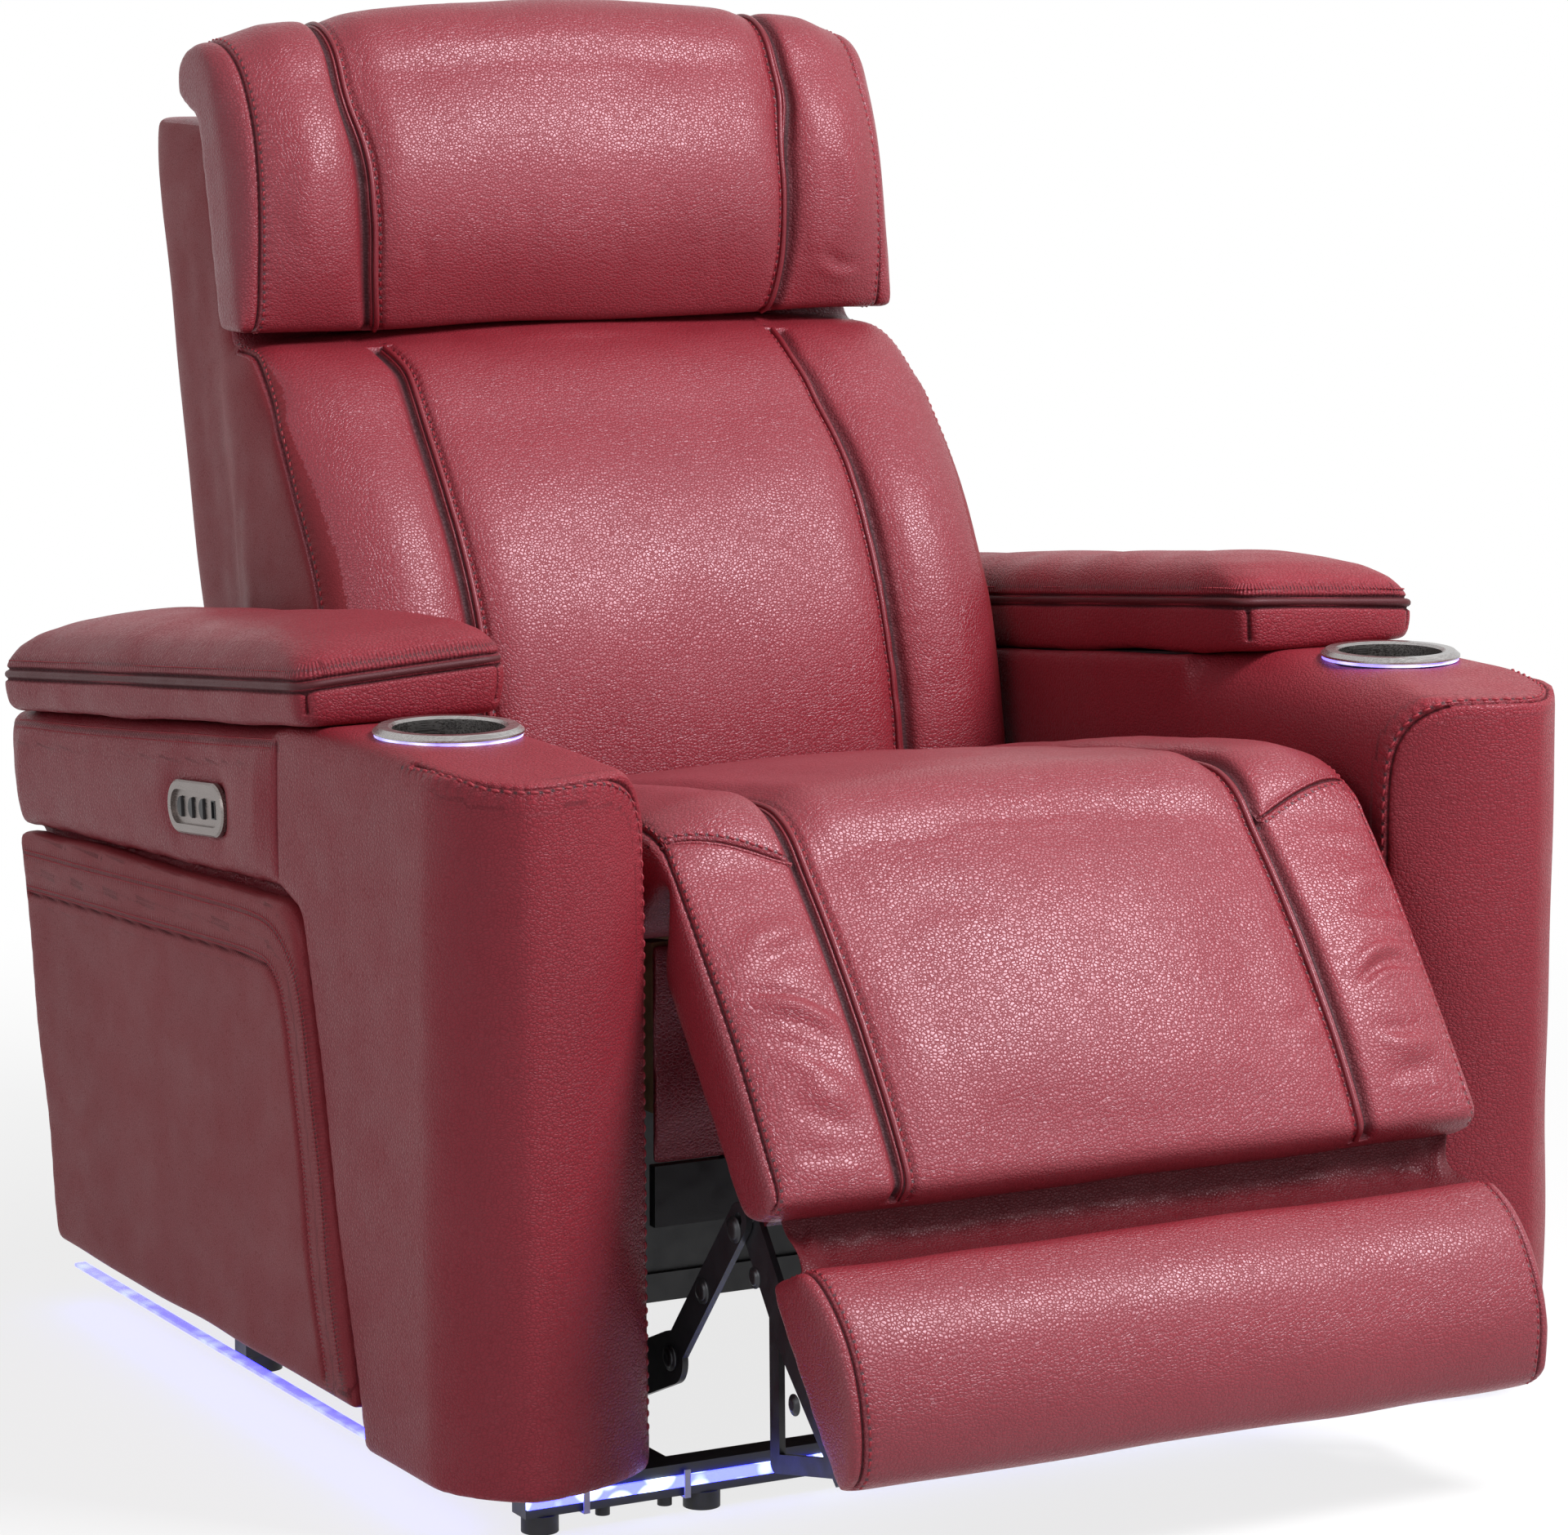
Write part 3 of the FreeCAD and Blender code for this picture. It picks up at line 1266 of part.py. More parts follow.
def ottoman_brackets(deep):
    """Steel plates on the foot board that slide behind the calf board, with a brace."""
    back = deep + S.slide_gap.value
    edge = S.link_in.value - S.link_space.value
    x = edge - S.link.value
    thick = S.link.value
    half = 0.32 * S.link_half.value + 3
    first = S.bracket_from.value
    last = S.bracket_to.value
    step = S.toe_start.value - S.toe_skew.value + 2
    far = deep + S.bracket_deep.value
    plate = block(x, edge, [on_pad(first, -back), on_pad(step, -back), on_pad(step, -deep),
                            on_pad(last, -deep), on_pad(last, -deep - 12),
                            on_pad(step + 40, -far), on_pad(first, -far)])
    point = on_pad(S.brace_along.value, -deep - S.brace_deep.value)
    front = on_pad(step + 10, -far + half)
    rear = on_pad(last - 12, -deep - half)
    plate = plate.fuse([bar(x, thick, front, point, half), bar(x, thick, rear, point, half)])
    return both_sides(plate.removeSplitter())


# Links and the drive tube

def drive_links():
    """The cross tube with a lever and an upper link at either end."""
    link_x = S.link_in.value + S.link.value + S.link_space.value
    thick = S.link.value
    y = S.drive_y.value
    z = S.drive_z.value
    tube = Part.makeCylinder(S.drive_radius.value, 2 * link_x, V(-link_x, y, z), V(1, 0, 0))
    turn = math.radians(S.lever_turn.value)
    tip = (y + S.lever_length.value * math.sin(turn), z - S.lever_length.value * math.cos(turn))
    lever = bar(S.lever_x.value - 6, 12, (y, z), tip, 9)
    upper = bar(link_x, thick, (y, z), (S.elbow_y.value, S.elbow_z.value), S.link_half.value)
    stub = Part.makeCylinder(S.journal.value, S.plate_in.value + S.plate.value + 1 - link_x - thick,
                             V(link_x + thick, y, z), V(1, 0, 0))
    pin = Part.makeCylinder(S.pin.value, thick + S.link_space.value + 1,
                            V(S.link_in.value - 1, S.elbow_y.value, S.elbow_z.value), V(1, 0, 0))
    arm = both_sides(upper.fuse([stub, pin]))
    return tube.fuse([lever] + arm.Solids).removeSplitter()


def lower_link(name):
    """The bent lower link between the elbow and the foot pad's bracket."""
    x = S.link_in.value
    thick = S.link.value
    bend = (S.bend_y.value, S.bend_z.value)
    elbow = (S.elbow_y.value, S.elbow_z.value)
    eye = (S.eye_y.value, S.eye_z.value)
    half = S.link_half.value
    rear = bar(x, thick, elbow, bend, S.heel_half.value, S.pin.value + S.running.value)
    front = bar(x, thick, bend, eye, half, 0, S.pin.value)
    return shaped(name, rear.fuse(front).removeSplitter())


def make_links():
    keep(shaped("drive_links", drive_links()))
    keep_both("lower_links", lower_link)


# Motors

def motor(name, sign, gear_y, rail_from, rail_to):
    """A linear motor under the seat: gearbox, can and the rail its carriage runs on."""
    centre = sign * S.motor_x
    gearbox = box(name + "_gearbox", centre - 0.5 * S.gearbox_wide, gear_y, S.gearbox_low,
                  S.gearbox_wide, S.gearbox_long, S.frame_low - S.gearbox_low)
    can_y = gear_y + 0.5 * S.gearbox_long
    can_x = centre + 0.5 * S.gearbox_wide if sign < 0 else centre - 0.5 * S.gearbox_wide - S.can_long
    can = rod(name + "_can", "X", S.can_radius, S.can_long, can_x, can_y,
              S.frame_low - S.can_radius - 8)
    rail = box(name + "_rail", centre - 0.5 * S.motor_rail, rail_from, S.motor_rail_low,
               S.motor_rail, rail_to - rail_from, S.motor_rail_tall)
    return keep(fuse(name, [gearbox, can, rail]))


def carriage(name, sign, depth):
    """The block that a motor drives along its rail."""
    centre = sign * S.motor_x
    outer = box(name + "_outer", centre - 0.5 * S.carriage_wide, depth,
                S.motor_rail_low - S.carriage_skin, S.carriage_wide, S.carriage_long,
                S.motor_rail_tall + 2 * S.carriage_skin)
    hole = box(name + "_hole", centre - 0.5 * S.motor_rail - S.slide_gap, depth - 1,
               S.motor_rail_low - S.slide_gap, S.motor_rail + 2 * S.slide_gap,
               S.carriage_long + 2, S.motor_rail_tall + 2 * S.slide_gap)
    return keep(cut(name, outer, hole))


def make_motors():
    gear_rear = S.frame_rear + S.rear_timber - S.gearbox_long
    motor("legrest_motor", -1, gear_rear, S.frame_front + 88, gear_rear)
    carriage("legrest_carriage", -1, S.legrest_carriage_y)
    gear_front = S.frame_front + S.motor_set
    gear_end = gear_front + S.gearbox_long
    motor("recline_motor", 1, gear_front, gear_end, S.frame_rear - 20)
    carriage("recline_carriage", 1, S.recline_carriage_y)


# Back

def leaning(low, high, near, far, x0, wide, name):
    """A slab parallel to the back board, from near to far behind its front face."""
    corners = [
        (back_face(low) + near, low),
        (back_face(low) + far, low),
        (back_face(high) + far, high),
        (back_face(high) + near, high),
    ]
    return prism(name, corners, x0, wide)


def make_back():
    board = leaning(S.back_low, S.back_top, 0, S.back_board, -S.back_half, 2 * S.back_half,
                    "back_board_blank")
    slots = []
    for side in (-1, 1):
        left = side * S.arc_x - 0.5 * S.arc_wide - S.slide_gap
        slots.append(box("guide_slot%d" % (side + 1), left, back_face(S.neck_z), S.neck_z + S.slot_low,
                         S.arc_wide + 2 * S.slide_gap, S.slot_deep, S.slot_tall))
    keep(cut("back_board", board, *slots))
    keep(back_shell())
    keep_both("back_brackets", back_bracket)
    keep(shaped("back_cushion", back_cushion()))
    keep(headrest_motor())
    keep(headrest_carriage())


def back_shell():
    """The outer back: a rear wall, two sides and a top round the back board."""
    near_low = back_face(S.shell_low) + S.back_board
    near_top = back_face(S.shell_top) + S.back_board
    corners = [
        (near_low, S.shell_low),
        (shell_face(S.shell_low), S.shell_low),
        (shell_face(S.shell_full) + S.shell_bulge, S.shell_full),
        (shell_face(S.shell_top), S.shell_top),
        (near_top, S.shell_top),
    ]
    blank = prism("back_shell_blank", corners, -S.shell_half, 2 * S.shell_half)

    def rear_side(edge):
        first, last = edge.Vertexes[0].Point, edge.Vertexes[-1].Point
        tall = abs(first.z - last.z) > 100
        behind = min(first.y, last.y) > number(shell_face(S.shell_low)) - 1
        return tall and behind

    round_edges(blank, S.shell_round, rear_side)
    roof = S.shell_top - S.shell_wall
    floor = S.shell_low - 5
    hollow = prism("back_shell_hollow", [
        (back_face(floor) + S.back_board - 5, floor),
        (shell_face(floor) - S.shell_wall, floor),
        (shell_face(roof) - S.shell_wall, roof),
        (back_face(roof) + S.back_board - 5, roof),
    ], S.shell_wall - S.shell_half, 2 * (S.shell_half - S.shell_wall))
    return cut("back_shell", blank, hollow)


def back_bracket(name):
    """The plate that carries the back board on the recline pivot."""
    high = S.hip_z + S.arm_high
    low = S.hip_z - S.arm_down
    elbow = S.hip_z + S.arm_down
    corners = [
        (S.hip_y - S.eye_front, S.hip_z - S.eye_half),
        (S.hip_y - S.eye_back, S.hip_z - S.eye_tall),
        (back_face(low) - 0.7 * S.arm_lap, low),
        (back_face(low) + S.arm_lap, low),
        (back_face(high) + S.arm_lap, high),
        (back_face(high), high),
        (back_face(elbow), elbow),
        (S.hip_y - S.eye_back, S.hip_z + S.eye_tall),
        (S.hip_y - S.eye_front, S.hip_z + S.eye_half),
    ]
    plate = prism(name + "_blank", corners, S.back_half, S.bracket_wide)
    hole = rod(name + "_hole", "X", S.hip_pin + S.running, S.bracket_wide + 2,
               S.back_half - 1, S.hip_y, S.hip_z)
    return cut(name, plate, hole)


def back_cushion():
    """The back cushion: full at the waist, drawn in at the sides, two seams."""
    hip = (S.hip_y.value, S.hip_z.value)
    r = S.hip_radius.value
    foot_z = S.back_low.value + 30
    foot = (back_face(foot_z).value, foot_z)
    under = (hip[0] + 0.1 * r, hip[1] - 0.985 * r)
    waist = (S.lumbar_y.value, S.lumbar_z.value)
    shoulder = (S.shoulder_y.value, S.shoulder_z.value)
    brow = (S.brow_y.value, S.brow_z.value)
    top = S.cushion_top.value

    def profile(swell, x):
        front_foot = (hip[0] - r - 0.1 * min(swell, 0), hip[1])
        low_mid = (hip[0] - 0.66 * r, hip[1] - 0.75 * r)
        belly = (0.5 * (front_foot[0] + waist[0]) - 8 - swell, 0.5 * (hip[1] + waist[1]))
        here = (waist[0] - 0.95 * swell, waist[1] + 0.2 * swell)
        chest = (0.5 * (waist[0] + shoulder[0]) - 10 - 0.85 * swell,
                 0.5 * (waist[1] + shoulder[1]) + 6 + 0.4 * swell)
        there = (shoulder[0] - 0.7 * swell, shoulder[1] + 0.3 * swell)
        neck = (0.5 * (shoulder[0] + brow[0]) - 4 - 0.5 * swell,
                0.5 * (shoulder[1] + brow[1]) + 8 + 0.4 * min(swell, 8))
        sink = 0.5 * min(swell, 0)
        end = (brow[0] - 0.3 * swell, brow[1] + sink)
        runs = [
            [low_mid, front_foot],
            [belly, here],
            [chest, there],
            [neck, end],
            [(back_face(top + sink).value, top + sink)],
            [foot],
            [under],
        ]
        return under, runs

    swell = S.cushion_swell.value
    stations = panel_stations(S.cushion_half.value, S.panel_seam.value, swell, -0.5 * swell,
                              [(0, -3.6 * swell), (10, -1.5 * swell), (32, -0.1 * swell)])
    solid = crosswise(stations, profile)
    half = S.cushion_half.value
    narrow = S.cushion_narrow.value
    for side in (-1, 1):
        corner = V(narrow if side > 0 else -half - 1, waist[0] - 200, 0)
        tall = S.cushion_hidden.value
        solid = solid.cut(Part.makeBox(half + 1 - narrow, 600, tall, corner))
    return solid.removeSplitter()


def headrest_motor():
    """The small motor behind the back board that tilts the headrest."""
    low = S.hip_z + S.head_motor_low
    middle = low + S.head_motor_tall
    behind = S.back_board
    near = behind + S.head_rail_set
    gearbox = leaning(low, middle, behind, behind + S.head_motor_deep,
                      -0.5 * S.head_motor_wide, S.head_motor_wide, "head_gearbox")
    rail = leaning(middle, S.neck_z + S.head_rail_over, near, near + S.head_rail_deep,
                   -0.5 * S.head_rail_wide, S.head_rail_wide, "head_rail")
    return fuse("headrest_motor", [gearbox, rail])


def headrest_carriage():
    """The block on the headrest motor's rail."""
    low = S.hip_z + S.head_motor_low + S.head_block_low
    high = low + S.head_block_tall
    near = S.back_board + S.head_rail_set
    far = near + S.head_rail_deep
    half = 0.5 * S.head_rail_wide
    outer = leaning(low, high, near - S.head_block_skin, far + S.head_block_skin,
                    -1 * (half + S.head_block_side), 2 * (half + S.head_block_side), "head_block")
    gap = S.slide_gap
    hole = leaning(low - 5, high + 5, near - gap, far + gap, -1 * (half + gap),
                   2 * (half + gap), "head_block_hole")
    return cut("headrest_carriage", outer, hole)


# Headrest

def make_headrest():
    keep(shaped("headrest_pad", headrest_pad()))
    keep(shaped("headrest_carrier", headrest_carrier()))


def pad_back(height):
    return back_face(height).value - S.head_space.value


def headrest_pad():
    """The headrest: a full roll across the top of the back, with two seams."""
    low = S.head_low.value
    foot = (pad_back(low), low)
    ledge = S.shell_top.value + 4
    waist = (pad_back(ledge), ledge)
    over = S.head_over.value
    top = S.head_top.value
    upper = S.head_upper.value
    neck = S.neck_y.value

    def profile(swell, x):
        front = (neck - 2, low)
        fullest = (S.head_front.value - swell, S.head_mid.value)
        drop = S.head_arch.value * (x / S.head_half.value) ** 2
        turn = (neck + 22 - 0.7 * swell, upper + 0.2 * swell - 0.6 * drop)
        crown = (0.5 * (neck + 22 + over), top - drop + max(swell, 0.2 * swell))
        rear = (over, top - 24 + 0.2 * swell - 0.6 * drop)
        runs = [
            [front],
            [fullest, turn],
            [crown, rear],
            [(over + 2, ledge + 16)],
            [waist],
            [foot],
        ]
        return foot, runs

    swell = S.head_swell.value
    stations = panel_stations(S.head_half.value, S.panel_seam.value + 8, swell, -swell,
                              [(0, -5 * swell), (10, -2.4 * swell), (30, -0.4 * swell)])
    return crosswise(stations, profile)


def headrest_carrier():
    """The plate behind the headrest pad, with two curved arms through the back board."""
    half = 0.5 * S.head_half.value
    low = S.head_low.value + 10
    high = S.shell_top.value - 20
    thick = S.head_plate.value
    plate = block(-half, half, [
        (pad_back(low), low),
        (pad_back(low) + thick, low),
        (pad_back(high) + thick, high),
        (pad_back(high), high),
    ])
    arms = [guide_arm(side * S.arc_x.value) for side in (-1, 1)]
    return plate.fuse(arms).removeSplitter()


def guide_arm(x):
    """A piece of a ring about the headrest pivot."""
    centre = V(x - 0.5 * S.arc_wide.value, S.neck_y.value, S.neck_z.value)
    start = math.radians(S.arc_tail.value)
    end = math.radians(S.arc_end.value)
    inner = S.arc_radius.value - S.arc_half.value
    outer = S.arc_radius.value + S.arc_half.value

    def spot(radius, angle):
        return centre + V(0, radius * math.cos(angle), radius * math.sin(angle))

    middle = 0.5 * (start + end)
    edges = [
        Part.Arc(spot(inner, start), spot(inner, middle), spot(inner, end)).toShape(),
        Part.LineSegment(spot(inner, end), spot(outer, end)).toShape(),
        Part.Arc(spot(outer, end), spot(outer, middle), spot(outer, start)).toShape(),
        Part.LineSegment(spot(outer, start), spot(inner, start)).toShape(),
    ]
    return Part.Face(Part.Wire(edges)).extrude(V(S.arc_wide.value, 0, 0))


# Build, check and write

make_arms()
make_switch()
make_base()
make_seat()
make_footrest()
make_links()
make_motors()
make_back()
make_headrest()
doc.recompute()

for item in doc.Objects:
    if "Invalid" in item.State or "Error" in item.State:
        raise RuntimeError("%s did not build: %s" % (item.Label, item.State))
for node in nodes:
    if node.Shape.isNull() or not node.Shape.isValid() or not node.Shape.Solids:
        raise RuntimeError("%s has no valid solid" % node.Label)

os.makedirs("parts", exist_ok=True)
whole = FreeCAD.BoundBox()
for node in nodes:
    node.Shape.exportStep("parts/%s.step" % node.Label)
    whole.add(node.Shape.BoundBox)
print("%d sub-parts" % len(nodes))
print("whole: X %.1f to %.1f, Y %.1f to %.1f, Z %.1f to %.1f" % (
    whole.XMin, whole.XMax, whole.YMin, whole.YMax, whole.ZMin, whole.ZMax))
for label, spot in (("lid hinge", lid_pivot()), ("recline pivot", (S.hip_y, S.hip_z)),
                    ("headrest pivot", (S.neck_y, S.neck_z)), ("fold", (S.fold_y, S.fold_z)),
                    ("drive tube", (S.drive_y, S.drive_z)), ("elbow", (S.elbow_y, S.elbow_z))):
    print("%s: Y %.2f, Z %.2f" % (label, S.front_y.value + number(spot[0]), number(spot[1])))
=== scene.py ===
import math

import bmesh
import bpy
import numpy as np
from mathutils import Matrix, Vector
from mathutils.bvhtree import BVHTree


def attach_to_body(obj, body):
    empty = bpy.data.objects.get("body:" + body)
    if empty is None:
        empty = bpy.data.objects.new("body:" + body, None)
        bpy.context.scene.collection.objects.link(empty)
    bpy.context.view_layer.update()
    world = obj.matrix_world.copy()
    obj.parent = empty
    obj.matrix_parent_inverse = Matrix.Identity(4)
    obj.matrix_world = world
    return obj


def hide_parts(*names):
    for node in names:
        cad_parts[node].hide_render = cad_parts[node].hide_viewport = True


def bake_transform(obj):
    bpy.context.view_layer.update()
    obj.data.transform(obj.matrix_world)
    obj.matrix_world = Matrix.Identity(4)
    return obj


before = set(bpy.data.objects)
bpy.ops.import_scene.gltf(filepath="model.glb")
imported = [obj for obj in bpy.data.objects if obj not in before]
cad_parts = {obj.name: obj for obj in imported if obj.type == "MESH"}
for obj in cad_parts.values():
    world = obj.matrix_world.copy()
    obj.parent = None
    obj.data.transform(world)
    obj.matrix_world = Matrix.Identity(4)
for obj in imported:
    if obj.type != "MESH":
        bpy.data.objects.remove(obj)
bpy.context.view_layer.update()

MM = 0.001
FRONT = -0.3753      # Y of the arm fronts; depths in this file are counted back from there, in mm
SLOPE = math.radians(52.4)
FOLD = (2.0, 486.5)  # depth and height of the fold line between the seat and the footrest
SIDES = (("left", 1), ("right", -1))


def at(x, depth, height):
    """A point in metres from a place in mm: across, back from the arm fronts, up."""
    return (x * MM, depth * MM + FRONT, height * MM)


def on_pad(x, along, out):
    """A point of the footrest: along it from the fold line, and out from its face."""
    depth = FOLD[0] - along * math.cos(SLOPE) - out * math.sin(SLOPE)
    height = FOLD[1] - along * math.sin(SLOPE) + out * math.cos(SLOPE)
    return at(x, depth, height)


# Camera, lamps, world and floor

def make_camera():
    data = bpy.data.cameras.new("camera")
    camera = bpy.data.objects.new("camera", data)
    bpy.context.scene.collection.objects.link(camera)
    target = Vector((-0.21132, -0.3753, 0.55481))
    camera.location = (-2.13602, -3.92168, 1.21411)
    camera.rotation_euler = (target - camera.location).to_track_quat("-Z", "Y").to_euler()
    data.lens = 128.258
    data.sensor_width = 36
    data.sensor_fit = "HORIZONTAL"
    bpy.context.scene.camera = camera


def lamp(name, place, target, size, watts):
    data = bpy.data.lights.new(name, "AREA")
    data.shape = "RECTANGLE"
    data.size, data.size_y = size
    data.energy = watts
    obj = bpy.data.objects.new(name, data)
    obj.location = place
    obj.rotation_euler = (Vector(target) - Vector(place)).to_track_quat("-Z", "Y").to_euler()
    bpy.context.scene.collection.objects.link(obj)


class Shader:
    """A material's node tree with short ways to add and join nodes."""

    def __init__(self, name, kind="material"):
        if kind == "world":
            self.block = bpy.data.worlds.new(name)
        else:
            self.block = bpy.data.materials.new(name)
        self.block.use_nodes = True
        self.tree = self.block.node_tree
        self.main = self.tree.nodes.get("Principled BSDF")

    def node(self, kind, inputs=None, **settings):
        made = self.tree.nodes.new(kind)
        for key, value in settings.items():
            setattr(made, key, value)
        for key, value in (inputs or {}).items():
            self.feed(made.inputs[key], value)
        return made

    def feed(self, socket, value):
        if isinstance(value, bpy.types.NodeSocket):
            self.tree.links.new(value, socket)
        else:
            socket.default_value = value

    def sum(self, operation, a, b=0.0):
        return self.node("ShaderNodeMath", {0: a, 1: b}, operation=operation).outputs[0]

    def times(self, a, b):
        return self.sum("MULTIPLY", a, b)

    def plus(self, a, b):
        return self.sum("ADD", a, b)

    def blend(self, share, a, b):
        made = self.node("ShaderNodeMix", data_type="RGBA")
        for place, value in ((0, share), (6, a), (7, b)):
            self.feed(made.inputs[place], value)
        return made.outputs[2]

    def ramp(self, value, low, high, start=0.0, end=1.0):
        return self.node("ShaderNodeMapRange", {"Value": value, "From Min": low, "From Max": high,
                                                "To Min": start, "To Max": end}).outputs[0]

    def noise(self, vector, scale, detail=2.0, rough=0.5):
        return self.node("ShaderNodeTexNoise", {"Vector": vector, "Scale": scale, "Detail": detail,
                                                "Roughness": rough}).outputs["Fac"]

    def bump(self, height, strength, distance, below=None):
        inputs = {"Height": height, "Strength": strength, "Distance": distance}
        if below is not None:
            inputs["Normal"] = below
        return self.node("ShaderNodeBump", inputs).outputs["Normal"]

    def where(self, scale=(1, 1, 1)):
        spot = self.node("ShaderNodeTexCoord").outputs["Object"]
        return self.node("ShaderNodeMapping", {"Vector": spot, "Scale": scale}).outputs["Vector"]

    def seen(self):
        """One for rays that see the backdrop: from the camera, a gloss or through glass."""
        path = self.node("ShaderNodeLightPath")
        total = self.sum("MAXIMUM", path.outputs["Is Camera Ray"], path.outputs["Is Glossy Ray"])
        return self.sum("MAXIMUM", total, path.outputs["Is Transmission Ray"])

    def finish(self, colour, rough, normal=None, metal=0.0, **more):
        self.feed(self.main.inputs["Base Color"], colour)
        self.feed(self.main.inputs["Roughness"], rough)
        self.feed(self.main.inputs["Metallic"], metal)
        if normal is not None:
            self.feed(self.main.inputs["Normal"], normal)
        for key, value in more.items():
            self.feed(self.main.inputs[key.replace("_", " ")], value)
        return self.block


def tint(colour, factor):
    return tuple(min(1.0, c * factor) for c in colour[:3]) + (1.0,)


def leather(name, colour, rough=0.36, grain=0.42, cell=340.0, specular=0.66):
    """Pebbled leather: domed grains, creases between them, puckers and needle holes at seams.

    The colour holds painted shade in the grain's creases, the puckers' valleys, the needle holes
    and the seam grooves that the crease attribute marks, and is lighter on convex edges, partly
    wear and partly painted highlight. The seam attribute holds the distance from a row of stitches,
    the place along it in turns, and how strong its puckers are."""
    s = Shader(name)
    place = s.where((1.0, 1.0, 1.18))
    warp = s.node("ShaderNodeTexNoise", {"Vector": place, "Scale": 60.0, "Detail": 2.0})
    shift = s.node("ShaderNodeVectorMath", {0: warp.outputs["Color"], "Scale": 0.005},
                   operation="SCALE")
    moved = s.node("ShaderNodeVectorMath", {0: place, 1: shift.outputs[0]}, operation="ADD")
    spot = moved.outputs[0]
    grains = s.node("ShaderNodeTexVoronoi", {"Vector": spot, "Scale": cell}, feature="F1")
    edges = s.node("ShaderNodeTexVoronoi", {"Vector": spot, "Scale": cell},
                   feature="DISTANCE_TO_EDGE")
    dome = s.ramp(grains.outputs["Distance"], 0.0, 0.8, 1.0, 0.0)
    crease = s.ramp(edges.outputs["Distance"], 0.0, 0.16)
    height = s.plus(s.times(dome, 0.45), s.times(crease, 0.65))
    height = s.times(height, s.ramp(s.noise(place, 14.0, 3.0), 0.3, 0.7, 0.85, 1.1))
    normal = s.bump(height, grain, 0.0012)
    normal = s.bump(s.noise(place, 30.0), 0.05, 0.004, normal)

    seam = s.node("ShaderNodeAttribute", attribute_name="seam")
    split = s.node("ShaderNodeSeparateXYZ", {"Vector": seam.outputs["Vector"]})
    off = s.sum("ABSOLUTE", split.outputs["X"])
    turns, strong = split.outputs["Y"], split.outputs["Z"]
    wave = s.sum("SINE", s.times(turns, 2 * math.pi))
    near = s.times(s.ramp(off, 0.001, 0.0085, 1.0, 0.0), strong)
    fold = s.times(s.times(wave, near), 0.5)
    normal = s.bump(fold, 0.7, 0.0018, normal)
    beat = s.sum("ABSOLUTE", s.sum("SUBTRACT", s.sum("FRACT", turns), 0.5))
    hole = s.times(s.ramp(beat, 0.30, 0.40), s.ramp(off, 0.0009, 0.0017, 1.0, 0.0))
    hole = s.times(hole, s.ramp(strong, 0.0, 0.3))

    dye = s.ramp(s.noise(place, 5.0, 3.0), 0.3, 0.7)
    shade = s.blend(dye, tint(colour, 0.95), tint(colour, 1.05))
    # painted shade: the colour darkens in the grain's creases
    shade = s.blend(s.ramp(crease, 0.0, 1.0, 0.42, 0.0), shade, tint(colour, 0.42))
    edge_pointiness = s.node("ShaderNodeNewGeometry").outputs["Pointiness"]
    # lighter on convex edges: partly wear, partly painted highlight
    shade = s.blend(s.ramp(edge_pointiness, 0.5, 0.6, 0.0, 0.22), shade, tint(colour, 1.35))
    # painted shade: darker in the valleys of the puckers beside the stitches
    shade = s.blend(s.ramp(fold, -0.4, 0.1, 0.75, 0.0), shade, tint(colour, 0.5))
    # painted shade: near-black dots for the needle holes, which the mesh doesn't have
    shade = s.blend(s.times(hole, 0.9), shade, tint(colour, 0.08))
    # painted shade: the crease attribute darkens the seam grooves that press marks
    dark = s.node("ShaderNodeAttribute", attribute_name="crease").outputs["Fac"]
    shade = s.blend(s.times(dark, 0.92), shade, tint(colour, 0.07))
    sheen = s.ramp(s.noise(place, 24.0, 3.0), 0.3, 0.7, rough - 0.04, rough + 0.05)
    sheen = s.plus(sheen, s.ramp(crease, 0.0, 1.0, 0.16, 0.0))
    sheen = s.plus(sheen, s.times(dark, 0.4))
    return s.finish(shade, sheen, normal, Specular_IOR_Level=specular,
                    Specular_Tint=(1.0, 0.82, 0.94, 1.0), Coat_Weight=0.04, Coat_Roughness=0.3)


def painted(name, colour, rough, lumps, depth, metal=0.0):
    """Powder coat, rubber or moulded plastic: a fine lumpy skin with uneven gloss."""
    s = Shader(name)
    place = s.where()
    skin = s.noise(place, lumps, 3.0, 0.6)
    dirt = s.ramp(s.noise(place, 14.0, 4.0), 0.35, 0.7)
    shade = s.blend(dirt, tint(colour, 0.8), tint(colour, 1.25))
    edge_pointiness = s.node("ShaderNodeNewGeometry").outputs["Pointiness"]
    shade = s.blend(s.ramp(edge_pointiness, 0.52, 0.62, 0.0, 0.5), shade, tint(colour, 2.2))
    gloss = s.ramp(s.noise(place, 60.0, 3.0), 0.3, 0.7, rough - 0.07, rough + 0.1)
    return s.finish(shade, gloss, s.bump(skin, depth, 0.0004), metal)


def brushed(name, colour, rough, along=(6, 900, 900)):
    """Brushed metal: long fine scratches in one direction."""
    s = Shader(name)
    lines = s.noise(s.where(along), 1.0, 4.0, 0.7)
    cloud = s.noise(s.where(), 30.0, 3.0)
    shade = s.blend(s.ramp(lines, 0.3, 0.7), tint(colour, 0.72), tint(colour, 1.15))
    shade = s.blend(s.ramp(cloud, 0.35, 0.75, 0.0, 0.3), shade, tint(colour, 0.6))
    gloss = s.ramp(lines, 0.3, 0.7, rough - 0.08, rough + 0.12)
    return s.finish(shade, gloss, s.bump(lines, 0.12, 0.0003), 1.0, Anisotropic=0.5)


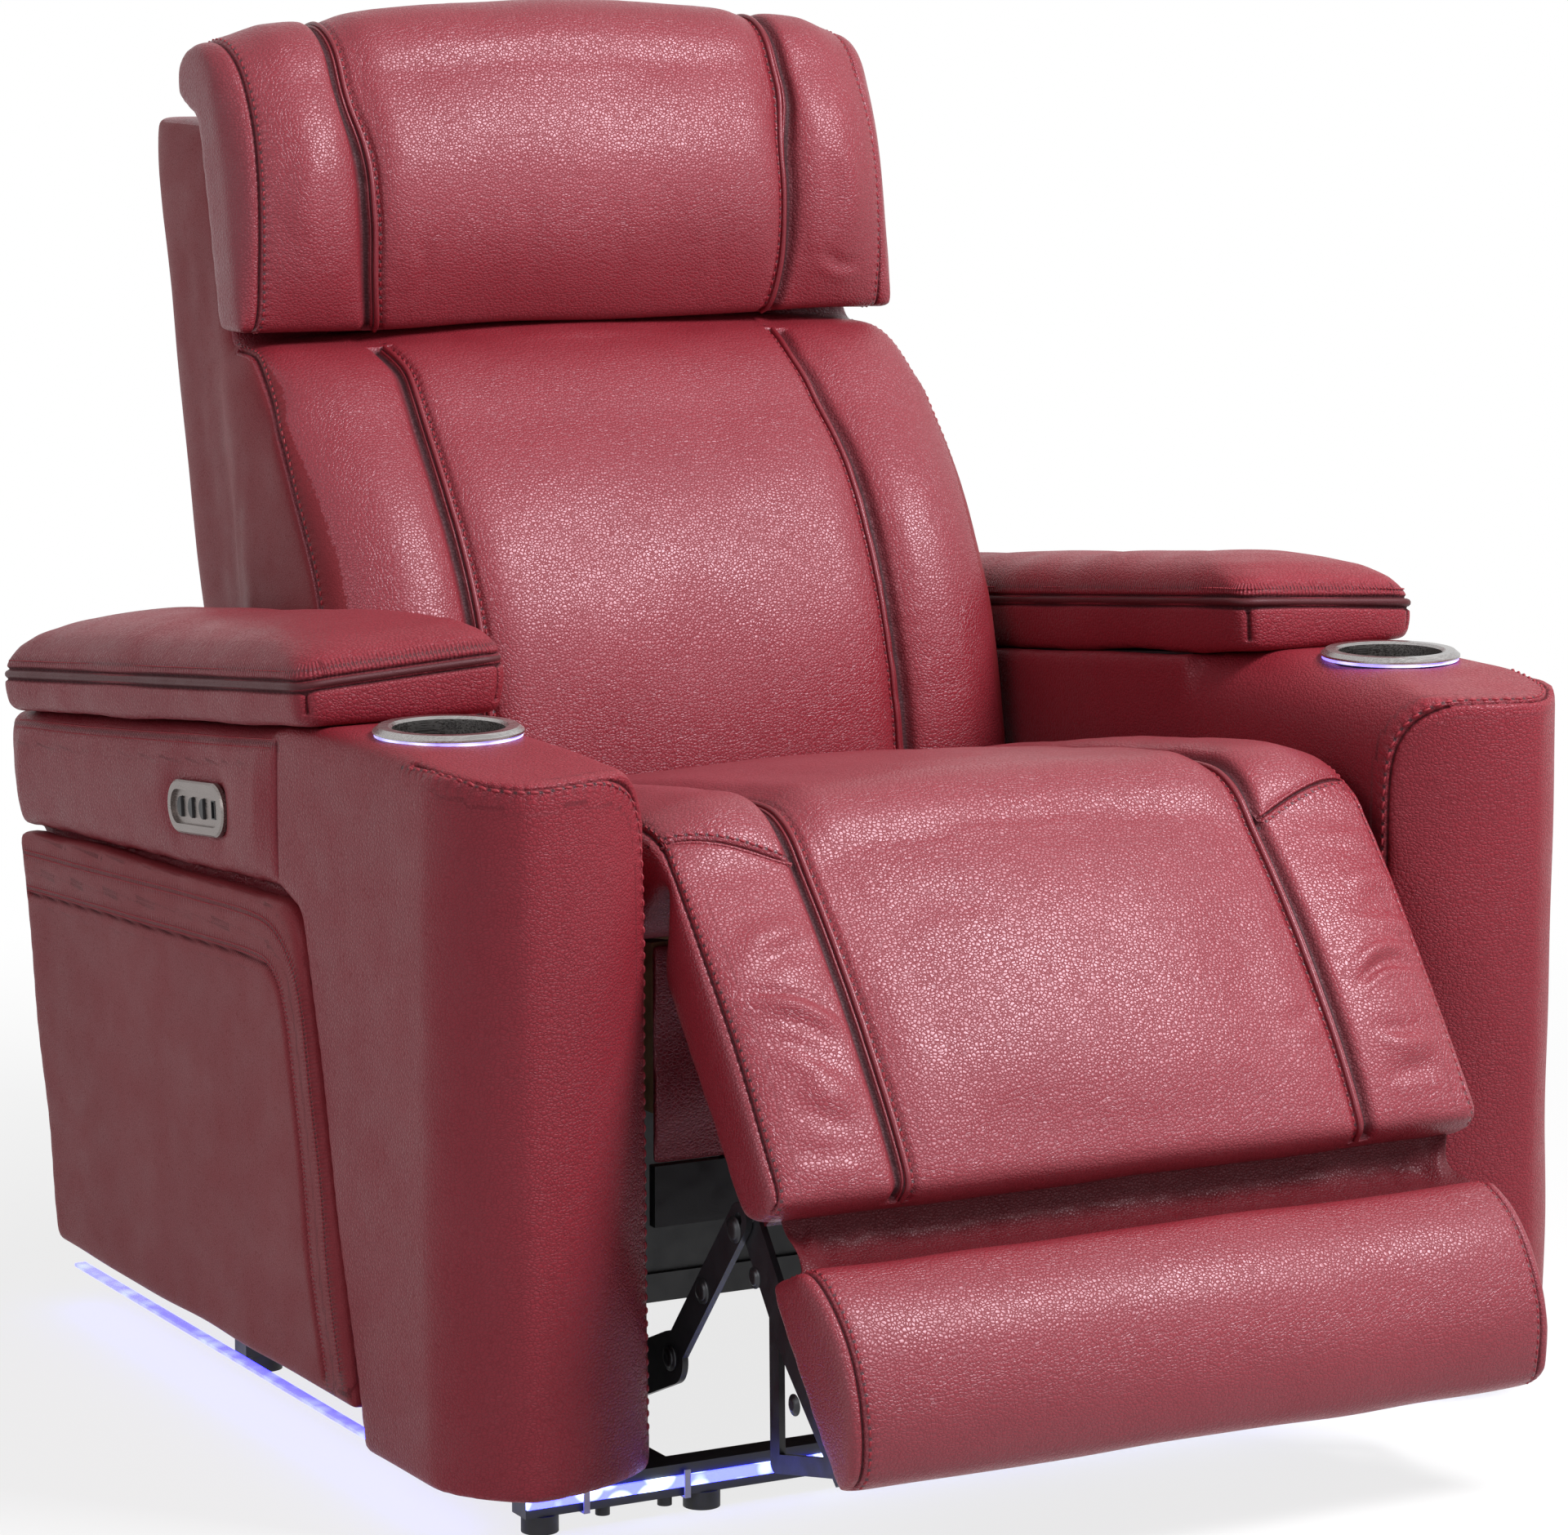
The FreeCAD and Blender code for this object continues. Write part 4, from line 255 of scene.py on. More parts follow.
def glowing(name, colour, core, strength):
    """A diffuse light strip with brighter spots where its lamps sit."""
    s = Shader(name)
    place = s.where()
    spots = s.node("ShaderNodeTexVoronoi", {"Vector": place, "Scale": 42.0}, feature="F1")
    hot = s.ramp(spots.outputs["Distance"], 0.1, 0.6, 1.0, 0.0)
    shade = s.blend(hot, tuple(colour) + (1,), tuple(core) + (1,))
    return s.finish((0.8, 0.82, 0.9, 1), 0.35, None, 0.0, Emission_Color=shade,
                    Emission_Strength=strength)


def grained_wood(name, colour):
    s = Shader(name)
    rings = s.node("ShaderNodeTexWave", {"Vector": s.where((3, 26, 26)), "Scale": 1.6,
                                         "Distortion": 5.0, "Detail": 3.0})
    shade = s.blend(rings.outputs["Fac"], tint(colour, 0.75), tint(colour, 1.15))
    return s.finish(shade, 0.62, s.bump(rings.outputs["Fac"], 0.1, 0.0006))


def make_world():
    s = Shader("studio", "world")
    bpy.context.scene.world = s.block
    s.tree.nodes.clear()
    white = s.node("ShaderNodeBackground", {"Color": (1, 1, 1, 1), "Strength": 1.0})
    dim = s.node("ShaderNodeBackground", {"Color": (0.97, 0.98, 1, 1), "Strength": 0.13})
    mix = s.node("ShaderNodeMixShader", {0: s.seen(), 1: dim.outputs[0], 2: white.outputs[0]})
    s.node("ShaderNodeOutputWorld", {0: mix.outputs[0]})


def make_floor():
    """A white floor that keeps a soft shadow near the chair and joins the backdrop further out."""
    bm = bmesh.new()
    bmesh.ops.create_grid(bm, x_segments=4, y_segments=4, size=30)
    mesh = bpy.data.meshes.new("floor")
    bm.to_mesh(mesh)
    bm.free()
    floor = bpy.data.objects.new("floor", mesh)
    bpy.context.scene.collection.objects.link(floor)
    s = Shader("floor_paint")
    seen = s.seen()
    away = s.node("ShaderNodeVectorMath", {0: s.where()}, operation="LENGTH")
    colour = s.blend(seen, (0.62, 0.62, 0.62, 1), (1, 1, 1, 1))
    matt = s.node("ShaderNodeBsdfDiffuse", {"Color": colour})
    glow = s.node("ShaderNodeEmission", {"Color": (1, 1, 1, 1), "Strength": 1.0})
    share = s.times(seen, s.ramp(away.outputs["Value"], 0.75, 2.0, 0.8, 1.0))
    mix = s.node("ShaderNodeMixShader", {0: share, 1: matt.outputs[0], 2: glow.outputs[0]})
    s.feed(s.tree.nodes["Material Output"].inputs[0], mix.outputs[0])
    mesh.materials.append(s.block)


# Mesh tools

def rows_of(items, key, width=3, kind=float):
    """A value of each item of a mesh, one row for each."""
    out = np.empty(len(items) * width, kind)
    items.foreach_get(key, out)
    return out.reshape(-1, width)


def coords(mesh):
    return rows_of(mesh.vertices, "co")


def set_coords(obj, co):
    obj.data.vertices.foreach_set("co", np.ascontiguousarray(co, np.float32).ravel())
    obj.data.update()


def normals(mesh):
    return rows_of(mesh.vertex_normals, "vector")


def new_object(name, verts, faces, smooth=True):
    mesh = bpy.data.meshes.new(name)
    mesh.from_pydata([tuple(v) for v in verts], [], faces)
    mesh.update()
    if smooth:
        mesh.shade_smooth()
    obj = bpy.data.objects.new(name, mesh)
    bpy.context.scene.collection.objects.link(obj)
    return obj


def ring_faces(first, rings, count):
    """The faces between closed rings of points that follow each other."""
    out = []
    for ring in range(rings - 1):
        start = first + ring * count
        for k in range(count):
            a, b = start + k, start + (k + 1) % count
            out.append((a, b, b + count, a + count))
    return out


def circle(centre, size, up, across, sides):
    turns = [2 * math.pi * k / sides for k in range(sides)]
    return [centre + size * (math.cos(a) * up + math.sin(a) * across) for a in turns]


def settle(obj):
    """Apply an object's modifiers to its mesh."""
    bpy.context.view_layer.update()
    deps = bpy.context.evaluated_depsgraph_get()
    mesh = bpy.data.meshes.new_from_object(obj.evaluated_get(deps))
    obj.modifiers.clear()
    old = obj.data
    obj.data = mesh
    bpy.data.meshes.remove(old)
    obj.data.shade_smooth()


def relax(obj, times, factor=0.5, hold=None):
    """Even out a mesh. hold is the share of each vertex that stays in place."""
    co = coords(obj.data)
    edges = rows_of(obj.data.edges, "vertices", 2, np.int32)
    count = len(co)
    degree = np.bincount(edges.ravel(), minlength=count)[:, None]
    free = 1.0 if hold is None else (1.0 - hold)[:, None]

    for _ in range(times):
        total = np.stack([np.bincount(edges[:, 0], co[edges[:, 1], k], count)
                          + np.bincount(edges[:, 1], co[edges[:, 0], k], count)
                          for k in range(3)], 1)
        co = co + factor * free * (total / np.maximum(degree, 1) - co)
    set_coords(obj, co)


def drop_crumbs(obj):
    """Remove loose specks and inner shells that a remesh can leave."""
    a, b = rows_of(obj.data.edges, "vertices", 2, np.int32).T
    label = np.arange(len(obj.data.vertices))
    while True:
        low = np.minimum(label[a], label[b])
        new = label.copy()
        np.minimum.at(new, a, low)
        np.minimum.at(new, b, low)
        new = new[new]
        if (new == label).all():
            break
        label = new
    sizes = np.bincount(label, minlength=len(label))
    small = np.flatnonzero(sizes[label] < 0.5 * sizes.max())
    if len(small):
        bm = bmesh.new()
        bm.from_mesh(obj.data)
        bm.verts.ensure_lookup_table()
        bmesh.ops.delete(bm, geom=[bm.verts[i] for i in small.tolist()], context="VERTS")
        bm.to_mesh(obj.data)
        bm.free()


def gathered(nodes):
    """The faces of some CAD solids as lists of points and faces."""
    verts, faces = [], []
    for node in nodes:
        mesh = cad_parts[node].data
        first = len(verts)
        verts += [tuple(v) for v in coords(mesh)]
        faces += [tuple(first + i for i in p.vertices) for p in mesh.polygons]
    return verts, faces


def soft(name, shape, voxel, smooth):
    """An evenly meshed skin round CAD nodes, or round points and faces, with softened edges."""
    verts, faces = gathered(shape) if isinstance(shape, list) else shape
    obj = new_object(name, verts, faces)
    remesh = obj.modifiers.new("voxels", "REMESH")
    remesh.mode = "VOXEL"
    remesh.voxel_size = voxel
    settle(obj)
    drop_crumbs(obj)
    relax(obj, smooth)
    return obj


def subdivide(obj):
    divide = obj.modifiers.new("divide", "SUBSURF")
    divide.levels = 1
    divide.render_levels = 1
    settle(obj)


def surface(obj):
    """A tree of an object's faces, to cast onto."""
    bm = bmesh.new()
    bm.from_mesh(obj.data)
    tree = BVHTree.FromBMesh(bm)
    bm.free()
    return tree


def waves(co, size, seed):
    """A smooth random field of about unit height, with features of a size in metres."""
    count = 16
    rng = np.random.default_rng(seed)
    total = np.zeros(len(co))
    for _ in range(count):
        way = rng.normal(size=3)
        way /= np.linalg.norm(way)
        turns = 2 * np.pi / (size * rng.uniform(0.7, 1.6))
        total += np.sin(co @ way * turns + rng.uniform(0, 2 * np.pi))
    return total / math.sqrt(count / 2)


def even(points, step, closed=False):
    """Points on a smooth curve through some points, evenly spaced."""
    p = np.array(points, float)
    count = len(p)
    spans = count if closed else count - 1
    out = []
    for i in range(spans):
        if closed:
            a, b, c, d = p[(i - 1) % count], p[i], p[(i + 1) % count], p[(i + 2) % count]
        else:
            b, c = p[i], p[i + 1]
            a = p[i - 1] if i else 2 * b - c
            d = p[i + 2] if i + 2 < count else 2 * c - b
        for t in np.linspace(0, 1, 24, endpoint=False):
            out.append(0.5 * (2 * b + (c - a) * t + (2 * a - 5 * b + 4 * c - d) * t * t
                              + (3 * b - a - 3 * c + d) * t ** 3))
    out.append(p[0] if closed else p[-1])
    out = np.array(out)
    gaps = np.linalg.norm(np.diff(out, axis=0), axis=1)
    run = np.concatenate([[0], np.cumsum(gaps)])
    n = max(2, int(round(run[-1] / step)) + 1)
    marks = np.linspace(0, run[-1], n)
    return np.stack([np.interp(marks, run, out[:, k]) for k in range(3)], 1)


def averaged(values, width, closed=False):
    kernel = np.ones(2 * width + 1) / (2 * width + 1)
    out = np.empty_like(values)
    for k in range(values.shape[1]):
        mode = "wrap" if closed else "edge"
        out[:, k] = np.convolve(np.pad(values[:, k], width, mode=mode), kernel, "valid")
    return out


class Line:
    """A path that lies on a surface, with the surface's normal and the way across at each point."""

    def __init__(self, points, tree, closed=False, step=0.001, width=4):
        raw = even(points, step, closed)
        ups = self.facing(raw, tree, closed)
        spots = np.array([self.cast(p, u, tree) for p, u in zip(raw, ups)])
        self.closed = closed
        self.points = averaged(averaged(spots, width, closed), width, closed)
        self.up = ups
        self.along = averaged(np.gradient(self.points, axis=0), 3, closed)
        self.along /= np.linalg.norm(self.along, axis=1)[:, None] + 1e-12
        self.across = np.cross(self.along, self.up)
        self.across /= np.linalg.norm(self.across, axis=1)[:, None] + 1e-12

    @staticmethod
    def facing(raw, tree, closed):
        """Smooth outward directions: the faces' normals near the path, averaged along it."""
        marks = np.arange(0, len(raw), 5)
        found = np.array([tuple(tree.find_nearest(Vector(raw[i]))[1]) for i in marks])
        places = np.arange(len(raw))
        ups = np.stack([np.interp(places, marks, found[:, k]) for k in range(3)], 1)
        width = min(16, (len(raw) - 1) // 2)
        ups = averaged(averaged(ups, width, closed), width, closed)
        return ups / (np.linalg.norm(ups, axis=1)[:, None] + 1e-12)

    @staticmethod
    def cast(point, up, tree):
        spot, _, _, _ = tree.ray_cast(Vector(point + 0.03 * up), Vector(-up), 0.06)
        if spot is None:
            spot, _, _, _ = tree.find_nearest(Vector(point))
        return tuple(spot)

    def beside(self, offset, tree):
        """A line at a distance to one side of this one."""
        made = Line(self.points[::6] + self.across[::6] * offset, tree, self.closed)
        if (made.across * self.across[:1]).sum(1)[0] < 0:
            made.across = -made.across
        return made


def closest(places, samples):
    """For each place, the number of its closest sample and the squared distance to it."""
    best = np.empty(len(places), int)
    gap = np.empty(len(places))
    sizes = (samples ** 2).sum(1)
    for start in range(0, len(places), 8000):
        chunk = places[start:start + 8000]
        d = sizes[None] - 2 * chunk @ samples.T
        best[start:start + 8000] = d.argmin(1)
        gap[start:start + 8000] = d.min(1) + (chunk ** 2).sum(1)
    return best, gap


def near_line(co, line, reach, up=None):
    """Which vertices lie near a line, their signed distance across it and their place along it."""
    low = line.points.min(0) - reach
    high = line.points.max(0) + reach
    inside = np.flatnonzero(((co > low) & (co < high)).all(1))
    if len(inside):
        inside = inside[closest(co[inside], line.points[::20])[1] < (reach + 0.012) ** 2]
    if not len(inside):
        return inside, inside, inside, inside
    samples = line.points[::4]
    best, gap = closest(co[inside], samples)
    gap = np.sqrt(np.maximum(gap, 0))
    keep = gap < reach
    if up is not None:
        keep &= (up[inside] * line.up[::4][best]).sum(1) > 0.15
    inside, best, gap = inside[keep], best[keep], gap[keep]
    off = ((co[inside] - samples[best]) * line.across[::4][best]).sum(1)
    return inside, off, best / max(1, len(samples) - 1), gap


def refine(obj, lines, reach, times=1):
    """Add finer faces near some lines."""
    for _ in range(times):
        co = coords(obj.data)
        marked = np.zeros(len(co), bool)
        for line in lines:
            marked[near_line(co, line, reach)[0]] = True
        bm = bmesh.new()
        bm.from_mesh(obj.data)
        bm.verts.ensure_lookup_table()
        chosen = [e for e in bm.edges if marked[e.verts[0].index] and marked[e.verts[1].index]]
        bmesh.ops.subdivide_edges(bm, edges=chosen, cuts=1, use_grid_fill=True)
        bm.to_mesh(obj.data)
        bm.free()
        obj.data.update()
        reach *= 0.75
    obj.data.shade_smooth()


def layer_of(obj, name, kind):
    return obj.data.attributes.get(name) or obj.data.attributes.new(name, kind, "POINT")


def press(obj, line, form, reach, dark=None, ends=0.012):
    """Push the surface in by form(distance across) along a line; dark(distance) paints shade there.
    """
    co = coords(obj.data)
    up = normals(obj.data)
    found, off, share, _ = near_line(co, line, reach, up)
    if not len(found):
        return
    fade = np.ones(len(found))
    if not line.closed:
        length = len(line.points) * MM
        fade = np.clip(np.minimum(share, 1 - share) * length / ends, 0, 1)
        fade = fade * fade * (3 - 2 * fade)
    amount = form(off) * fade
    co[found] -= up[found] * amount[:, None]
    set_coords(obj, co)
    # painted shade: dark(distance) goes into the crease attribute, which darkens the colour
    if dark is not None:
        layer = layer_of(obj, "crease", "FLOAT")
        values = np.zeros(len(co), np.float32)
        layer.data.foreach_get("value", values)
        values[found] = np.maximum(values[found], (dark(off) * np.clip(fade, 0, 1)))
        layer.data.foreach_set("value", values)


def pucker(obj, line, pitch, strong=1.0, reach=0.014):
    """Mark the leather beside a row of stitches, so that its material puckers there."""
    co = coords(obj.data)
    found, off, _, _ = near_line(co, line, reach, normals(obj.data))
    if not len(found):
        return
    samples = line.points
    best = closest(co[found], samples)[0]
    ahead = ((co[found] - samples[best]) * line.along[best]).sum(1)
    layer = layer_of(obj, "seam", "FLOAT_VECTOR")
    values = np.zeros(len(co) * 3, np.float32)
    layer.data.foreach_get("vector", values)
    values = values.reshape(-1, 3)
    weight = strong * np.clip((reach - np.abs(off)) / (0.35 * reach), 0, 1)
    free = values[found, 2] <= 0
    wins = free | (np.abs(values[found, 0]) > np.abs(off))
    rows = found[wins]
    values[rows, 0] = off[wins]
    values[rows, 1] = (best[wins] * MM + ahead[wins]) / pitch
    values[rows, 2] = weight[wins]
    layer.data.foreach_set("vector", values.ravel())


def bell(s, centre, width):
    return np.exp(-((s - centre) / width) ** 2)


def wrinkle(obj, tree, points, width, height):
    """A soft fold: a ridge with a shallow valley beside it that fades to both ends."""
    line = Line(points, tree, width=8)

    def form(s):
        return -height * (bell(s, 0, width) - 0.6 * bell(s, 1.5 * width, 0.8 * width))

    press(obj, line, form, 3.2 * width, ends=0.42 * len(line.points) * MM)


def ripple(obj, size, height, seed):
    """Slight unevenness all over."""
    co, up = coords(obj.data), normals(obj.data)
    set_coords(obj, co + up * (height * waves(co, size, seed))[:, None])


def tube(name, lines, radius, lift, sides=8):
    """A round cord of leather along each line."""
    verts, faces = [], []
    for line in lines:
        picks = range(0, len(line.points), 2)
        picks = list(picks) if line.closed else list(picks) + [len(line.points) - 1]
        first = len(verts)
        for order, i in enumerate(picks):
            size = radius
            if not line.closed and order in (0, len(picks) - 1):
                size = 0.35 * radius
            centre = line.points[i] + line.up[i] * lift
            verts += circle(centre, size, line.up[i], line.across[i], sides)
        faces += ring_faces(first, len(picks), sides)
        last = len(verts) - sides
        if line.closed:
            for k in range(sides):
                after = (k + 1) % sides
                faces.append((last + k, last + after, first + after, first + k))
        else:
            faces.append(tuple(range(first, first + sides))[::-1])
            faces.append(tuple(range(last, last + sides)))
    return new_object(name, verts, faces)


COARSE = (0.0078, 0.0054, 0.00085)   # pitch, length and radius of the sewn rows' stitches
FINE = (0.0034, 0.0027, 0.0006)      # the same of the small stitches on the arms
FRONT_STITCH = (0.0098, 0.0070, 0.0011)   # and of the thick thread on the pillars' fronts


def stitches(name, lines, pitch, length, radius):
    """Threads that dip into the leather at both ends, in rows along lines."""
    lift, slant = -0.0002, 0.14
    profile = ((-1.0, 0.15, -0.8), (-0.8, 0.75, 0.0), (-0.35, 1.0, 0.55), (0.35, 1.0, 0.55),
               (0.8, 0.75, 0.0), (1.0, 0.15, -0.8))
    sides = 5
    verts, faces = [], []
    rng = np.random.default_rng(len(lines) * 31 + len(name))
    for line in lines:
        for j in range(int(len(line.points) * MM / pitch)):
            i = int((j + 0.5) * pitch / MM)
            if i >= len(line.points):
                break
            turn = slant + rng.normal(0, 0.04)
            along = line.along[i] * math.cos(turn) + line.across[i] * math.sin(turn)
            across = np.cross(along, line.up[i])
            centre = line.points[i] + line.up[i] * lift
            reach = 0.5 * length * rng.uniform(0.93, 1.05)
            first = len(verts)
            for place, size, rise in profile:
                middle = centre + along * (place * reach) + line.up[i] * (rise * radius)
                verts += circle(middle, radius * size, line.up[i], across, sides)
            faces += ring_faces(first, len(profile), sides)
    thread = new_object(name, verts, faces)
    wear(thread, "thread")
    return thread


def puff(obj, nodes, seams, cap, pressure, limit, front):
    """Blow up a coarse copy that is held along its seams, as stuffing does, and fill obj out by it.

    nodes are what obj was made from. cap is the most that it rises, and limit the place across
    that it keeps within. front(places, normals) gives the share that may fill out."""
    coarse = soft(obj.name + "_stuffing", nodes, 0.010, 4)
    rest, up = coords(coarse.data), normals(coarse.data)
    held = np.zeros(len(rest))
    for line in seams:
        found, _, _, gap = near_line(rest, line, 0.03, up)
        held[found] = np.maximum(held[found], np.clip(1.6 - gap / 0.008, 0, 1))
    set_coords(coarse, rest - up * (0.004 * (1 - held))[:, None])
    group = coarse.vertex_groups.new(name="held")
    for weight in (0.34, 0.67, 1.0):
        chosen = np.flatnonzero(np.abs(held - weight) < 0.17).tolist()
        if chosen:
            group.add(chosen, weight, "REPLACE")
    cloth = coarse.modifiers.new("stuffing", "CLOTH")
    cloth.settings.use_pressure = True
    cloth.settings.uniform_pressure_force = pressure
    cloth.settings.effector_weights.gravity = 0
    cloth.settings.vertex_group_mass = "held"
    cloth.settings.quality = 4
    cloth.point_cache.frame_start = 1
    cloth.point_cache.frame_end = 20
    scene = bpy.context.scene
    for tick in range(1, 21):
        scene.frame_set(tick)
    deps = bpy.context.evaluated_depsgraph_get()
    moved = coords(coarse.evaluated_get(deps).data)
    coarse.modifiers.clear()
    scene.frame_set(1)
    rise = np.clip(((moved - rest) * up).sum(1), 0, None)
    rise = cap * np.tanh(rise / cap) * (1 - held)
    set_coords(coarse, rest)
    tree = surface(coarse)
    corners = [tuple(face.vertices) for face in coarse.data.polygons]
    co, up = coords(obj.data), normals(obj.data)
    more = np.zeros(len(co))
    for i, place in enumerate(co):
        face = tree.find_nearest(Vector(place))[2]
        more[i] = rise[list(corners[face])].mean()
    co = co + up * (more * front(co, up))[:, None]
    co[:, 0] = np.clip(co[:, 0], -limit, limit)
    set_coords(obj, co)
    relax(obj, 3, 0.4)
    bpy.data.objects.remove(coarse)


def face_side(co, up):
    """One on the faces that a sitter meets, nought on the rear and the underside."""
    return np.clip((0.35 - up[:, 1]) / 0.4, 0, 1) * np.clip((up[:, 2] + 0.75) / 0.4, 0, 1)


# Finishes

BURGUNDY = (0.285, 0.021, 0.034)
paint = {}


def make_materials():
    paint["leather"] = leather("burgundy_leather", BURGUNDY)
    # painted shade: a darker, duller copy of the leather for the arm sides and the back's sides and
    # rear
    paint["side"] = leather("burgundy_leather_shaded_copy", (0.25, 0.020, 0.028), 0.5, 0.25, 520.0, 0.32)
    paint["arm"] = leather("burgundy_arm_leather", BURGUNDY, 0.42, 0.5, 330.0, 0.34)
    paint["piping"] = leather("burgundy_piping", (0.24, 0.018, 0.028), 0.27, 0.2, 620.0, 0.5)
    # painted shade: near-black leather for the cord sunk in the lid's groove
    paint["band"] = leather("groove_cord_leather_painted_shade", (0.075, 0.008, 0.010), 0.5, 0.2, 620.0, 0.35)
    # painted shade: burgundy leather darkened for the crumpled bridge and the boards under the pads
    paint["dark_shaded_leather"] = leather("bridging_leather", (0.12, 0.008, 0.013), 0.42, 0.5, 420.0, 0.28)
    paint["thread"] = painted("red_thread", (0.20, 0.008, 0.018), 0.5, 2500.0, 0.4)
    paint["black_steel"] = painted("black_powder_coat", (0.010, 0.010, 0.012), 0.38, 700.0, 0.2)
    paint["dark_plastic"] = painted("dark_plastic", (0.014, 0.014, 0.016), 0.45, 1100.0, 0.15)
    paint["foot_rubber"] = painted("foot_rubber", (0.010, 0.010, 0.010), 0.55, 500.0, 0.25)
    paint["steel"] = brushed("brushed_steel", (0.42, 0.40, 0.395), 0.26)
    paint["switch_metal"] = brushed("switch_metal", (0.26, 0.225, 0.215), 0.28, (900, 8, 900))
    paint["white_plastic"] = painted("white_plastic", (0.62, 0.64, 0.78), 0.4, 900.0, 0.08)
    paint["timber"] = grained_wood("frame_timber", (0.42, 0.27, 0.14))
    paint["wire"] = painted("spring_wire", (0.03, 0.03, 0.032), 0.38, 600.0, 0.15, 0.6)
    paint["light"] = glowing("blue_light_strip", (0.04, 0.05, 1.0), (0.62, 0.80, 1.0), 7.0)
    paint["ring"] = glowing("cup_light_ring", (0.20, 0.18, 1.0), (0.62, 0.62, 1.0), 1.5)
    paint["glow"] = glowing("under_light", (0.02, 0.02, 1.0), (0.05, 0.06, 1.0), 9.0)
    paint["motor"] = painted("motor_housing", (0.045, 0.045, 0.05), 0.36, 500.0, 0.1, 0.7)
    paint["bore"] = painted("cup_bore", (0.02, 0.02, 0.021), 0.35, 900.0, 0.06)


def wear(obj, name):
    obj.data.materials.clear()
    obj.data.materials.append(paint[name])


def second_paint(obj, name, chosen):
    """Another paint on the faces whose corners are all chosen."""
    obj.data.materials.append(paint[name])
    for face in obj.data.polygons:
        if all(chosen[i] for i in face.vertices):
            face.material_index = 1


NODE_PAINT = {
    "black_steel": ("base_rails", "front_rail", "rear_rail", "left_side_plate", "right_side_plate",
                    "drive_links", "lower_links", "ottoman_brackets", "back_brackets",
                    "headrest_carrier", "lid_hinges", "cross_rail", "dust_panel"),
    "dark_plastic": ("control_box", "legrest_carriage", "recline_carriage", "headrest_carriage",
                     "left_storage_bin", "right_storage_bin", "power_inlet", "button_1",
                     "button_2", "button_3", "usb_socket"),
    "foot_rubber": ("feet", "levellers"),
    "steel": ("left_cup_holder", "right_cup_holder"),
    "switch_metal": ("switch_bezel", "switch_panel"),
    "white_plastic": ("cable_ties",),
    "timber": ("back_board", "seat_front_rail", "seat_rear_rail", "seat_side_rails"),
    # painted shade: the boards under the pads wear the darkened leather
    "dark_shaded_leather": ("legrest_board", "ottoman_board"),
    "wire": ("seat_wires",),
    "light": ("light_strip",),
    "ring": ("cup_lights",),
    "motor": ("legrest_motor", "recline_motor", "headrest_motor"),
}


def paint_nodes():
    for name, nodes in NODE_PAINT.items():
        for node in nodes:
            wear(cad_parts[node], name)
    for side, _ in SIDES:
        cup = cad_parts[side + "_cup_holder"]
        co = coords(cup.data)
        middle = 0.5 * (co.min(0) + co.max(0))
        radius = np.hypot(co[:, 0] - middle[0], co[:, 1] - middle[1])
        inner = (radius < 0.0455) & (co[:, 2] < co[:, 2].max() - 0.0025)
        second_paint(cup, "bore", inner)


# Seams

def piped(s):
    """A sewn edge on a panel's shoulder, with a deep valley on the bolster's side of it."""
    return (0.0012 * bell(s, 0, 0.006) + 0.0062 * bell(s, 0.0078, 0.0046)
            + 0.0020 * bell(s, -0.0040, 0.0030))


# Painted shade across a piped edge: in its two slits and the valley beside it.
def piped_painted_shade(s):
    return np.clip(1.2 * bell(s, 0.0026, 0.0010) + 1.2 * bell(s, 0.0064, 0.0016)
                   + 0.55 * bell(s, 0.0095, 0.0030), 0, 1)


def single(s):
    """A plain seam: one side lies over the other."""
    return 0.0016 * bell(s, 0, 0.0042) + 0.0022 * bell(s, 0, 0.0012)


# Painted shade in a plain seam's groove.
def single_painted_shade(s):
    return np.clip(0.95 * bell(s, 0, 0.0011), 0, 1)


def sunk(s):
    """Two narrow valleys with a sunk cord between them, round a lid."""
    return 0.0024 * bell(np.abs(s), 0.0046, 0.0012) + 0.0012 * bell(s, 0, 0.005)


# Painted shade in the two valleys round a lid and over its sunk cord.
def sunk_painted_shade(s):
    return np.clip(1.2 * bell(np.abs(s), 0.0046, 0.0013) + 0.5 * bell(s, 0, 0.004), 0, 1)


def attach(pieces, where):
    """Let pieces ride on the body named by where, or else bake their placement into their meshes.
    """
    for piece in pieces:
        if isinstance(where, str):
            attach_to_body(piece, where)
        else:
            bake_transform(piece)


def dress(obj, name, nodes, where):
    """Finish a skin that stands for CAD nodes."""
    wear(obj, name)
    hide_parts(*nodes)
    attach([obj], where)


def sew_piped(name, obj, lines, where):
    """Press sewn edges into a cushion, then lay a thick and a thin piping and the stitches there.

    Each line's across side points to its bolster."""
    refine(obj, lines, 0.015, 2)
    for line in lines:
        press(obj, line, piped, 0.026, piped_painted_shade, 0.004)
    tree = surface(obj)
    fresh = [line.beside(0.0, tree) for line in lines]
    cord = tube(name + "_piping", fresh, 0.0023, 0.0009, 10)
    thin = [line.beside(0.0046, tree) for line in fresh]
    lip = tube(name + "_piping_lip", thin, 0.0012, 0.0002)
    wear(cord, "piping")
    wear(lip, "piping")
    rows = [line.beside(-0.0040, tree) for line in fresh]
    thread = stitches(name + "_piping_stitches", rows, *COARSE)
    for row in rows:
        pucker(obj, row, COARSE[0], 0.3)
    attach([cord, lip, thread], where)


